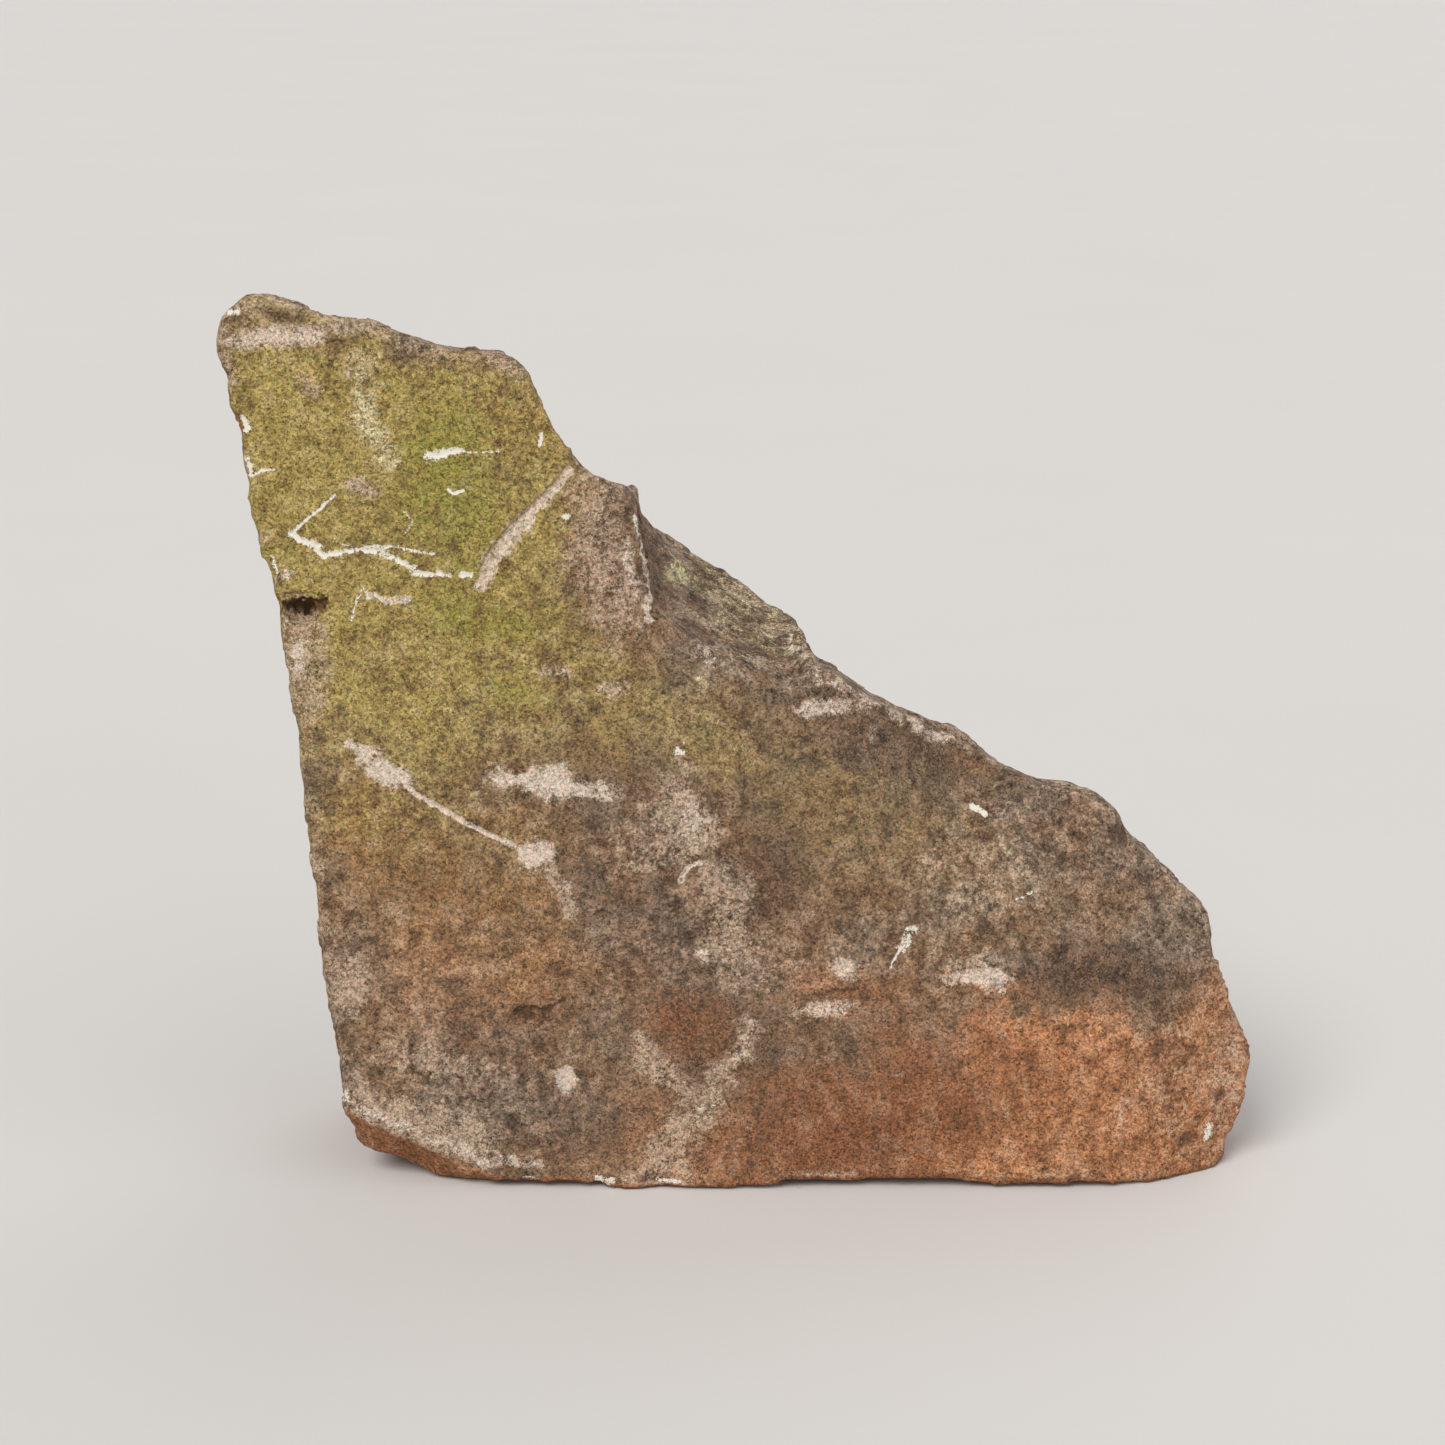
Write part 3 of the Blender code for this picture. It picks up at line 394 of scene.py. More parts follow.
class Lattice:
    """Repeatable noise: the same points always get the same numbers."""

    layer_shift: float = 0.137
    layer_spread: float = 1.6

    def __init__(self, pattern: Pattern) -> None:
        """Keeps the pattern's seed, which sets one noise apart from the next."""
        self.seed = pattern.value

    def numbers(self, cells: np.ndarray, extra: int = 0) -> np.ndarray:
        """Draws a number for each cell of a lattice.

        Args:
            cells: whole-number positions, one row of three for each cell.
            extra: sets further draws for the same cells apart.

        Returns:
            One number from 0 to 1 for each row.
        """
        mixed = (cells[:, 0] * CELL_MIX[0]) ^ (cells[:, 1] * CELL_MIX[1]) ^ (cells[:, 2] * CELL_MIX[2])
        mixed = (mixed + (self.seed * SEED_STEP + extra) * SEED_MIX) & ALL_BITS
        for shift, stir in STIRS:
            mixed = ((mixed ^ (mixed >> shift)) * stir) & ALL_BITS
        return (mixed ^ (mixed >> STIRS[0][0])) / ALL_BITS

    def soft(self, points: np.ndarray, size: float) -> np.ndarray:
        """Smooth noise from 0 to 1 with lumps about size millimetres across.

        Args:
            points: positions in metres.
            size: width of the lumps, in millimetres.

        Returns:
            One number for each point.
        """
        scaled = points / (size * MM)
        corner = np.floor(scaled).astype(np.int64)
        part = scaled - corner
        part = part * part * (3 - 2 * part)
        total = np.zeros(len(points))
        for step in np.ndindex(2, 2, 2):
            weight = np.prod(np.where(step, part, 1 - part), axis=1)
            total += weight * self.numbers(corner + step)
        return total

    def layered(self, points: np.ndarray, size: float, layers: int = 4, gain: float = 0.55) -> np.ndarray:
        """Adds ever finer layers of smooth noise.

        Args:
            points: positions in metres.
            size: width of the largest lumps, in millimetres.
            layers: how many layers, each half the size of the one before.
            gain: how strong each layer is beside the one before.

        Returns:
            Noise centred on 0, mostly between -0.5 and 0.5.
        """
        total, weight = np.zeros(len(points)), 0.0
        for layer in range(layers):
            shifted = points + self.layer_shift * (layer + 1)
            total += gain**layer * (self.soft(shifted, size / 2**layer) - 0.5)
            weight += gain**layer
        return total / weight * self.layer_spread

    def facets(self, points: np.ndarray, size: float) -> np.ndarray:
        """Flat tilted chips that meet at sharp steps, as a height in shares of their size.

        Args:
            points: positions in metres.
            size: width of the chips, in millimetres.

        Returns:
            Height at each point, on both sides of 0.
        """
        scaled = points / (size * MM)
        corner = np.floor(scaled).astype(np.int64)
        nearest = np.full(len(points), np.inf)
        height = np.zeros(len(points))
        for step in np.ndindex(3, 3, 3):
            cell = corner + np.array(step) - 1
            centre = cell + np.stack([self.numbers(cell, k) for k in (1, 2, 3)], axis=1)
            lean = np.stack([self.numbers(cell, k) for k in (4, 5, 6)], axis=1) - 0.5
            away = scaled - centre
            distance = np.einsum("ij,ij->i", away, away)
            closer = distance < nearest
            nearest = np.where(closer, distance, nearest)
            height = np.where(closer, np.einsum("ij,ij->i", away, lean), height)
        return height


def rise(values: np.ndarray, low: float, high: float) -> np.ndarray:
    """Goes smoothly from 0 at low to 1 at high."""
    part = np.clip((values - low) / (high - low), 0.0, 1.0)
    return part * part * (3 - 2 * part)


@dataclass
class Skin:
    """The stone's surface as arrays, with what is known at each point.

    The bed is where the points lie before any relief. Broad is the smoothed normal, facing says how squarely
    a point looks out of the flat face, worn is 1 on that face and 0 on the broken sides, ridge is 1 on sharp
    outer edges and hollow is 1 in creases.
    """

    points: np.ndarray
    triangles: np.ndarray
    low: np.ndarray
    high: np.ndarray
    coats: dict[Coat, np.ndarray] = field(default_factory=dict)
    calm_rounds: int = 24
    broad_rounds: int = 6

    def __post_init__(self) -> None:
        """Prepares the edges and an empty layer for every coat."""
        sides = np.concatenate([self.triangles[:, pair] for pair in ((0, 1), (1, 2), (2, 0))])
        self.edges = np.unique(np.sort(sides, axis=1), axis=0)
        self.links = np.bincount(self.edges.ravel(), minlength=len(self.points)).astype(float)
        for coat in Coat:
            self.coats[coat] = np.zeros(len(self.points))

    def sense(self, lean: float) -> None:
        """Works out how the surface lies at each point, before any relief is cut.

        Args:
            lean: how far the flat face leans back, in degrees.
        """
        self.bed = self.points.copy()
        calm = self.smoothed(self.bed, self.calm_rounds)
        self.broad = self.smoothed(self.normals(), self.broad_rounds)
        self.broad /= np.linalg.norm(self.broad, axis=1)[:, None]
        tilt = math.radians(lean)
        face_way = np.array([0.0, -math.cos(tilt), math.sin(tilt)])
        self.facing = self.broad @ face_way
        self.worn = rise(self.facing, 0.72, 0.95)
        bulge = np.einsum("ij,ij->i", self.bed - calm, self.broad) / MM
        self.ridge = rise(bulge, 0.25, 1.5)
        self.hollow = rise(-bulge, 0.15, 1.0)

    def lift(self, coat: Coat, values: np.ndarray) -> None:
        """Brings a coat up to values, where it is less than that."""
        self.coats[coat] = np.maximum(self.coats[coat], values)

    def place(self, across: float, up: float) -> tuple[float, float]:
        """Turns shares of the stone's width and height into x and z in metres."""
        span = self.high - self.low
        return self.low[0] + across * span[0], self.low[2] + up * span[2]

    def around(self, values: np.ndarray) -> np.ndarray:
        """Averages values over each point's neighbours.

        Args:
            values: one number, or one row, for each point.

        Returns:
            The averages, in the same form.
        """
        first, second = self.edges[:, 0], self.edges[:, 1]
        flat = values.reshape(len(values), -1)
        total = np.empty_like(flat)
        for column in range(flat.shape[1]):
            total[:, column] = np.bincount(first, flat[second, column], len(values))
            total[:, column] += np.bincount(second, flat[first, column], len(values))
        return (total / self.links[:, None]).reshape(values.shape)

    def smoothed(self, values: np.ndarray, rounds: int) -> np.ndarray:
        """Moves values halfway to their neighbours' average, several times over.

        Args:
            values: one number, or one row, for each point.
            rounds: how many times over.

        Returns:
            The smoothed values, in the same form.
        """
        for _ in range(rounds):
            values = 0.5 * (values + self.around(values))
        return values

    def normals(self) -> np.ndarray:
        """Unit normals at the points, from the triangles that meet there.

        Returns:
            One unit vector for each point.
        """
        a, b, c = (self.points[self.triangles[:, k]] for k in range(3))
        faces = np.cross(b - a, c - a)
        total = np.zeros_like(self.points)
        for corner in range(3):
            for axis in range(3):
                total[:, axis] += np.bincount(self.triangles[:, corner], faces[:, axis], len(self.points))
        return total / np.maximum(np.linalg.norm(total, axis=1), 1e-12)[:, None]


@dataclass(frozen=True)
class Marks:
    """Lays the zones, dabs and strokes.

    Swirl, shift, wobble and fray are the sizes of the noises that bend and roughen the edges. Pull is how far
    an edge is bent, in shares of the mark's smaller half size, and the limits cap that. Sizes and limits are
    in millimetres.
    """

    swirl: float = 60
    shift: float = 11
    wobble: float = 9
    fray: float = 3.6
    pull: float = 1.3
    dab_limit: float = 9.0
    fine_limit: float = 1.6
    broad_limit: float = 8.0

    def lay(self, skin: Skin) -> np.ndarray:
        """Lays every mark.

        Args:
            skin: the surface, whose coats are filled.

        Returns:
            How deep the marks are cut at each point, in millimetres.
        """
        front = rise(skin.facing, 0.0, 0.45)
        wobble = Lattice(Pattern.WOBBLE).layered(skin.bed, self.wobble, layers=4, gain=0.6)
        shift = self.bend(skin, (Pattern.SHIFT_ACROSS, Pattern.SHIFT_UP), self.shift, layers=3, gain=0.7)
        depth = np.zeros(len(skin.bed))
        self.zones(skin, wobble)
        self.dabs(skin, front, wobble, shift, depth)
        self.strokes(skin, front, wobble, shift, depth)
        return depth

    def bend(
        self, skin: Skin, patterns: tuple[Pattern, Pattern], size: float, layers: int, gain: float
    ) -> np.ndarray:
        """Noise across and up, by which the marks are bent out of shape.

        Args:
            skin: the surface.
            patterns: the noise for across and the one for up.
            size: width of the largest bends, in millimetres.
            layers: how many layers of noise.
            gain: how strong each layer is beside the one before.

        Returns:
            Two numbers for each point, mostly between -0.5 and 0.5.
        """
        bends = [Lattice(one).layered(skin.bed, size, layers=layers, gain=gain) for one in patterns]
        return np.stack(bends, axis=1)

    def zones(self, skin: Skin, wobble: np.ndarray) -> None:
        """Lays the broad coats, each over those before it.

        Args:
            skin: the surface, whose coats are filled.
            wobble: the noise that roughens the edges.
        """
        flat = skin.bed[:, (0, 2)]
        swirl = self.bend(skin, (Pattern.SWIRL_ACROSS, Pattern.SWIRL_UP), self.swirl, layers=5, gain=0.62)
        for dab in ZONES:
            pull = min(dab.wide, dab.high) * self.pull * MM
            reach = oval(dab, flat + swirl * pull, skin) + 0.5 * dab.ragged * wobble
            value = dab.strength * (1 - rise(reach, 1 - dab.soft, 1 + dab.soft))
            skin.coats[dab.coat] = 1 - (1 - skin.coats[dab.coat]) * (1 - value)

    def dabs(
        self, skin: Skin, front: np.ndarray, wobble: np.ndarray, shift: np.ndarray, depth: np.ndarray
    ) -> None:
        """Lays the ovals on the face.

        Args:
            skin: the surface, whose coats are filled.
            front: 1 where marks may lie.
            wobble: the noise that roughens the edges.
            shift: the bend across and up.
            depth: depth in millimetres, which is added to.
        """
        flat = skin.bed[:, (0, 2)]
        for dab in DABS:
            bent = flat + shift * min(self.dab_limit, self.pull * min(dab.wide, dab.high)) * MM
            reach = oval(dab, bent, skin) + dab.ragged * wobble * 1.3
            inside = (1 - rise(reach, 1 - 1.3 * dab.soft, 1 + 1.3 * dab.soft)) * front
            skin.lift(dab.coat, dab.strength * inside)
            if dab.depth:
                slope = np.clip(0.5 + local_up(dab, flat, skin) * 0.5, 0.0, 1.0)
                shape = (1 - dab.lip) + dab.lip * slope
                steep = (1 - rise(oval(dab, bent, skin) + 0.5 * dab.ragged * wobble, 0.75, 1.1)) * front
                depth += dab.depth * shape * steep

    def strokes(
        self, skin: Skin, front: np.ndarray, wobble: np.ndarray, shift: np.ndarray, depth: np.ndarray
    ) -> None:
        """Lays the lines on the face.

        Args:
            skin: the surface, whose coats are filled.
            front: 1 where marks may lie.
            wobble: the noise that roughens broad lines.
            shift: the bend across and up.
            depth: depth in millimetres, which is added to.
        """
        flat = skin.bed[:, (0, 2)]
        fray = Lattice(Pattern.FRAY).layered(skin.bed, self.fray, layers=3, gain=0.8)
        for stroke in STROKES:
            spots = [np.array(skin.place(*spot)) for spot in stroke.path]
            bent = flat + shift * (self.fine_limit if stroke.fine else self.broad_limit) * MM
            gap, share = along_path(bent, spots)
            reach = gap / (stroke.width * (1 + (stroke.taper - 1) * share) * MM / 2)
            away = reach + stroke.ragged * (fray if stroke.fine else wobble) * 2.0
            inside = (1 - rise(away, 1 - stroke.soft, 1 + stroke.soft)) * front
            skin.lift(stroke.coat, stroke.strength * inside)
            if stroke.depth:
                depth += stroke.depth * (1 - rise(away, 0.2, 1.25)) * front


@dataclass(frozen=True)
class Relief:
    """The stone's own unevenness: how wide its lumps and chips are and how deep, in millimetres.

    Calm depths are for the flat face and broken ones for the other sides.
    """

    swell: float = 70
    lumps: float = 15
    grit: float = 5
    slabs: float = 46
    chips: float = 17
    small_chips: float = 7
    nicks: float = 17
    bites: float = 7
    calm_swell: float = 1.6
    calm_lumps: float = 0.75
    calm_grit: float = 0.22
    broken_swell: float = 1.2
    broken_lumps: float = 1.1
    broken_grit: float = 0.6
    slab_depth: float = 4.6
    chip_depth: float = 2.6
    small_chip_depth: float = 1.1
    broken_share: float = 0.8
    nick_depth: float = 0.35
    bite_depth: float = 0.15
    edge_height: float = 1.4

    def cut(self, skin: Skin) -> np.ndarray:
        """Works out the relief, and notes the rough places in their coat.

        Args:
            skin: the surface, whose rough coat is filled.

        Returns:
            Depth at each point, in millimetres, positive into the stone.
        """
        bed = skin.bed
        rough = np.maximum(1 - skin.worn, skin.coats[Coat.ROUGH])
        skin.coats[Coat.ROUGH] = rough
        swell = Lattice(Pattern.SWELL).layered(bed, self.swell, layers=3)
        lumps = Lattice(Pattern.LUMPS).layered(bed, self.lumps, layers=4, gain=0.6)
        grit = Lattice(Pattern.GRIT).layered(bed, self.grit, layers=2, gain=0.6)
        chips = Lattice(Pattern.CHIPS).facets(bed, self.chips)
        small_chips = Lattice(Pattern.SMALL_CHIPS).facets(bed, self.small_chips)
        slabs = Lattice(Pattern.SLABS).facets(bed, self.slabs)
        calm = self.calm_swell * swell + self.calm_lumps * lumps + self.calm_grit * grit
        broken = self.broken_swell * swell + self.broken_lumps * lumps + self.broken_grit * grit
        broken += self.slab_depth * slabs
        broken += self.chip_depth * chips
        broken += self.small_chip_depth * small_chips
        nick = rise(Lattice(Pattern.NICKS).soft(bed, self.nicks), 0.50, 0.75) * skin.ridge
        bite = rise(Lattice(Pattern.BITES).soft(bed, self.bites), 0.60, 0.85) * skin.ridge
        depth = calm * (1 - rough) + broken * rough * self.broken_share
        return depth + self.nick_depth * nick + self.bite_depth * bite - self.edge_height * skin.ridge


@dataclass(frozen=True)
class Weather:
    """What weather and light do everywhere: pale knocked edges, darker hollows, pale dust with painted light on
    top, and iron stain with a dark rust beneath that also stands in for painted shade.

    Each share is the most of a coat that it brings, or takes away where growth or stain is thin.
    """

    patches: float = 16
    knocked: float = 0.6
    rust_and_shade_beneath: float = 0.60
    cleared_beneath: float = 0.8
    dark_in_hollows: float = 0.45
    grey_on_top: float = 0.75
    pale_dust_and_light_on_top: float = 0.55
    bare_of_growth: float = 0.8

    def lay(self, skin: Skin) -> None:
        """Changes the skin's coats.

        Args:
            skin: the surface, whose coats are changed.
        """
        patchy = Lattice(Pattern.PATCHES).layered(skin.bed, self.patches, layers=4, gain=0.65)
        skin.lift(Coat.PALE, self.knocked * (skin.ridge * rise(patchy, -0.25, 0.25)))
        # The faces that look down take iron stain and dark rust and lose their grey and pale coats: partly real
        # stain, partly painted shade beneath.
        under = rise(-skin.broad[:, 2], 0.10, 0.38)
        skin.lift(Coat.IRON, under)
        skin.lift(Coat.RUST_AND_SHADE, self.rust_and_shade_beneath * under)
        for coat in (Coat.GREY, Coat.PALE):
            skin.coats[coat] *= 1 - self.cleared_beneath * under
        # Darker in the creases, in patches.
        skin.lift(Coat.SOIL_AND_SHADE, self.dark_in_hollows * skin.hollow * rise(patchy, -0.1, 0.3))
        # The faces that look up take grey and pale: grey weathering, pale dust, and painted light on the top.
        top = rise(skin.broad[:, 2], 0.35, 0.8)
        skin.lift(Coat.GREY, self.grey_on_top * top)
        skin.lift(Coat.PALE, self.pale_dust_and_light_on_top * top * rise(patchy, -0.3, 0.2))
        grown = 1 - self.bare_of_growth * (1 - rise(skin.facing, 0.15, 0.55))
        skin.coats[Coat.ALGAE] *= grown
        skin.coats[Coat.GREEN] *= grown


@dataclass
class StoneSlab:
    """The slab itself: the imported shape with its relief, its coats and its finish.

    Spacing is the width of the even faces, reach is how far round a fine mark they are split, and the foot's
    numbers are the width and depth of its dents, all in millimetres. Lean is in degrees.
    """

    spacing: float = 2.3
    fine_cuts: int = 2
    reach: float = 4.0
    lean: float = 8.0
    softening: int = 2
    foot_size: float = 14
    foot_depth: float = 0.9

    def build(self) -> bpy.types.Object:
        """Makes the stone from the CAD node.

        Returns:
            The finished piece, which rides on the slab's one body.
        """
        mesh = self.dense_copy()
        self.refine(mesh)
        skin = self.read(mesh)
        skin.points = skin.smoothed(skin.points, self.softening)
        self.carve(skin)
        self.write(mesh, skin)
        stone = bpy.data.objects.new("weathered_stone", mesh)
        bpy.context.scene.collection.objects.link(stone)
        mesh.materials.append(StoneFinish().build())
        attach(stone, BODY)
        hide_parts(NODE)
        log.info("weathered_stone: %d points, %d triangles", len(skin.points), len(skin.triangles))
        return stone

    def dense_copy(self) -> bpy.types.Mesh:
        """Copies the CAD node's mesh and gives it even, small faces.

        Returns:
            The new mesh, without a finish.
        """
        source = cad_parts[NODE]
        copy = bpy.data.objects.new("dense_stone", source.data.copy())
        bpy.context.scene.collection.objects.link(copy)
        remesh = copy.modifiers.new("even", "REMESH")
        remesh.mode = "VOXEL"
        remesh.voxel_size = self.spacing * MM
        evaluated = copy.evaluated_get(bpy.context.evaluated_depsgraph_get())
        mesh = bpy.data.meshes.new_from_object(evaluated)
        bpy.data.objects.remove(copy)
        mesh.name = "weathered_stone"
        mesh.materials.clear()
        return mesh

    def refine(self, mesh: bpy.types.Mesh) -> None:
        """Splits the faces near fine marks, so that thin grooves have points to follow.

        Args:
            mesh: the dense copy, which is changed.
        """
        shape = bmesh.new()
        shape.from_mesh(mesh)
        bmesh.ops.triangulate(shape, faces=shape.faces)
        for cut in range(self.fine_cuts):
            shape.verts.ensure_lookup_table()
            near = self.near_fine_marks(np.array([vertex.co for vertex in shape.verts]), cut)
            edges = [edge for edge in shape.edges if near[edge.verts[0].index] and near[edge.verts[1].index]]
            bmesh.ops.subdivide_edges(shape, edges=edges, cuts=1, use_grid_fill=True)
            bmesh.ops.triangulate(shape, faces=[face for face in shape.faces if len(face.verts) > 3])
            shape.verts.index_update()
        shape.to_mesh(mesh)
        shape.free()

    def near_fine_marks(self, points: np.ndarray, cut: int) -> np.ndarray:
        """Finds the points of the front that lie beside a fine mark.

        Args:
            points: positions in metres.
            cut: how many times the faces have been split, which narrows the search.

        Returns:
            True for each such point.
        """
        low, high = (np.array(corner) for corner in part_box(NODE))
        near = np.zeros(len(points), bool)
        for stroke in STROKES:
            if stroke.fine:
                spots = [low[[0, 2]] + np.array(spot) * (high - low)[[0, 2]] for spot in stroke.path]
                limit = (stroke.width / 2 + self.reach / (cut + 1)) * MM
                near |= along_path(points[:, (0, 2)], spots)[0] < limit
        return near & (points[:, 1] < 0.0)

    def read(self, mesh: bpy.types.Mesh) -> Skin:
        """Takes the mesh into arrays.

        Args:
            mesh: the dense copy, all of triangles.

        Returns:
            Its surface as arrays.
        """
        points = np.empty(len(mesh.vertices) * 3)
        mesh.vertices.foreach_get("co", points)
        corners = np.empty(len(mesh.loops), dtype=np.int64)
        mesh.loops.foreach_get("vertex_index", corners)
        low, high = (np.array(corner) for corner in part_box(NODE))
        return Skin(points.reshape(-1, 3), corners.reshape(-1, 3), low, high)

    def write(self, mesh: bpy.types.Mesh, skin: Skin) -> None:
        """Puts the carved points and the coats back on the mesh.

        Args:
            mesh: the mesh that the skin was read from.
            skin: the carved surface.
        """
        mesh.vertices.foreach_set("co", skin.points.ravel())
        for coat, values in skin.coats.items():
            layer = mesh.attributes.new(coat.value, "FLOAT", "POINT")
            layer.data.foreach_set("value", np.clip(values, 0.0, 1.0).astype(np.float32))
        mesh.shade_smooth()
        mesh.update()

    def carve(self, skin: Skin) -> None:
        """Fills the coats and cuts the relief, keeping the foot level on the floor.

        Args:
            skin: the surface, whose points and coats are changed.
        """
        skin.sense(self.lean)
        depth = Marks().lay(skin)
        depth += Relief().cut(skin)
        Weather().lay(skin)
        resting = rise(-skin.broad[:, 2], 0.6, 0.9) * rise(skin.bed[:, 2], 0.006, 0.001)
        dents = self.foot_depth * np.abs(Lattice(Pattern.FOOT).layered(skin.bed, self.foot_size))
        depth = depth * (1 - resting) + resting * dents
        skin.points = skin.bed - skin.broad * (depth * MM)[:, None]
        skin.points[:, 2] = np.maximum(skin.points[:, 2], 0.0)


def oval(dab: Dab, flat: np.ndarray, skin: Skin) -> np.ndarray:
    """Distance from the dab's centre, with 1 on the rim of its oval."""
    along, over = turned(dab, flat, skin)
    return np.hypot(along / (dab.wide * MM), over / (dab.high * MM))


def local_up(dab: Dab, flat: np.ndarray, skin: Skin) -> np.ndarray:
    """Height within the dab's oval, from -1 at its lower rim to 1 at its upper rim."""
    return turned(dab, flat, skin)[1] / (dab.high * MM)


def turned(dab: Dab, flat: np.ndarray, skin: Skin) -> tuple[np.ndarray, np.ndarray]:
    """Positions along and over the dab's own turned axes, in metres.

    Args:
        dab: the oval.
        flat: positions across and up, in metres.
        skin: the surface, for its width and height.

    Returns:
        Two numbers for each point.
    """
    x, z = skin.place(dab.across, dab.up)
    angle = math.radians(dab.turn)
    dx, dz = flat[:, 0] - x, flat[:, 1] - z
    along = dx * math.cos(angle) + dz * math.sin(angle)
    return along, dz * math.cos(angle) - dx * math.sin(angle)


def along_path(flat: np.ndarray, spots: list[np.ndarray]) -> tuple[np.ndarray, np.ndarray]:
    """Measures points against a line through several spots.

    Args:
        flat: positions across and up, in metres.
        spots: the line's points, in metres.

    Returns:
        The shortest distance to the line, and how far along the line that is, as a share of its length.
    """
    nearest, share = np.full(len(flat), np.inf), np.zeros(len(flat))
    lengths = [float(np.linalg.norm(end - start)) for start, end in zip(spots[:-1], spots[1:])]
    passed = 0.0
    for start, end, length in zip(spots[:-1], spots[1:], lengths):
        run = end - start
        part = np.clip((flat - start) @ run / length**2, 0.0, 1.0)
        away = flat - (start + part[:, None] * run)
        gap = np.hypot(away[:, 0], away[:, 1])
        share = np.where(gap < nearest, (passed + part * length) / sum(lengths), share)
        nearest = np.minimum(nearest, gap)
        passed += length
    return nearest, share


class Wire:
    """An output socket that can be written in ordinary arithmetic."""

    def __init__(self, graph: "Graph", socket: bpy.types.NodeSocket) -> None:
        """Wraps the socket of a node in graph."""
        self.graph = graph
        self.socket = socket

    def _sum(
        self, operation: str, first: "Wire | tuple | float", second: "Wire | tuple | float"
    ) -> "Wire":
        """Joins two operands with one maths node, a vector one if either of them is a vector or a colour.

        Args:
            operation: what the node does.
            first: the left operand, a wire or plain numbers.
            second: the right operand.

        Returns:
            The node's output.
        """
        many = any(
            isinstance(side, tuple) or (isinstance(side, Wire) and side.socket.type in ("VECTOR", "RGBA"))
            for side in (first, second)
        )
        kind = "ShaderNodeVectorMath" if many else "ShaderNodeMath"
        if many:
            sides = (first, second)
            first, second = ((side,) * 3 if isinstance(side, (int, float)) else side for side in sides)
        return self.graph.node(kind, {"operation": operation}, {0: first, 1: second})

    def __add__(self, other: "Wire | tuple | float") -> "Wire":
        """Adds."""
        return self._sum("ADD", self, other)

    __radd__ = __add__

    def __sub__(self, other: "Wire | tuple | float") -> "Wire":
        """Takes other away."""
        return self._sum("SUBTRACT", self, other)

    def __rsub__(self, other: "Wire | tuple | float") -> "Wire":
        """Takes this away from other."""
        return self._sum("SUBTRACT", other, self)

    def __mul__(self, other: "Wire | tuple | float") -> "Wire":
        """Multiplies."""
        return self._sum("MULTIPLY", self, other)

    __rmul__ = __mul__

    def rise(self, low: float, high: float) -> "Wire":
        """Goes smoothly from 0 at low to 1 at high.

        Args:
            low: value that gives 0.
            high: value that gives 1.

        Returns:
            The smooth step.
        """
        return self.graph.node(
            "ShaderNodeMapRange",
            {"interpolation_type": "SMOOTHSTEP"},
            {"Value": self, "From Min": low, "From Max": high},
        )


class Graph:
    """A material's node tree, with one way to add a node."""

    def __init__(self, name: str) -> None:
        """Starts an empty material called name.

        Args:
            name: what the material is called.
        """
        self.material = bpy.data.materials.new(name)
        self.material.use_nodes = True
        self.tree = self.material.node_tree
        self.tree.nodes.clear()

    def node(
        self, kind: str, settings: dict | None = None, sockets: dict | None = None, take: str | int = 0
    ) -> Wire | None:
        """Adds a node.

        Args:
            kind: the node's type.
            settings: properties, set before anything else because they change the sockets.
            sockets: values or wires for inputs, by name or number.
            take: name or number of the output to hand back.

        Returns:
            The chosen output, or None from a node without outputs.
        """
        made = self.tree.nodes.new(kind)
        for name, value in (settings or {}).items():
            setattr(made, name, value)
        for name, value in (sockets or {}).items():
            if isinstance(value, Wire):
                self.tree.links.new(value.socket, made.inputs[name])
            elif isinstance(value, tuple) and made.inputs[name].type == "RGBA" and len(value) == 3:
                made.inputs[name].default_value = (*value, 1.0)
            else:
                made.inputs[name].default_value = value
        return Wire(self, made.outputs[take]) if made.outputs else None

    def blend(self, under: Wire | Colour, over: Wire | Colour, share: Wire) -> Wire:
        """Lays one colour over another by share."""
        return self.node("ShaderNodeMix", {"data_type": "RGBA"}, {0: share, 6: under, 7: over}, take=2)

    def noise(self, where: Wire, size: float, detail: float = 2.0, roughness: float = 0.55) -> Wire:
        """Noise from 0 to 1 with lumps about size millimetres across."""
        sockets = {"Vector": where, "Scale": 1 / (size * MM), "Detail": detail, "Roughness": roughness}
        return self.node("ShaderNodeTexNoise", {}, sockets)

    def coat(self, coat: Coat) -> Wire:
        """How much of a coat lies at each point."""
        return self.node("ShaderNodeAttribute", {"attribute_name": coat.value}, take="Fac")

    def bump(self, height: Wire, strength: float, depth: float) -> Wire:
        """Turns height into a normal, with depth in millimetres."""
        sockets = {"Strength": strength, "Distance": depth * MM, "Height": height}
        return self.node("ShaderNodeBump", {}, sockets, "Normal")

    def finish(self, sockets: dict) -> bpy.types.Material:
        """Closes the material with one surface shader that takes sockets.

        Args:
            sockets: values or wires for the shader's inputs, by name.

        Returns:
            The material.
        """
        surface = self.node("ShaderNodeBsdfPrincipled", {}, sockets)
        self.node("ShaderNodeOutputMaterial", {}, {"Surface": surface})
        return self.material


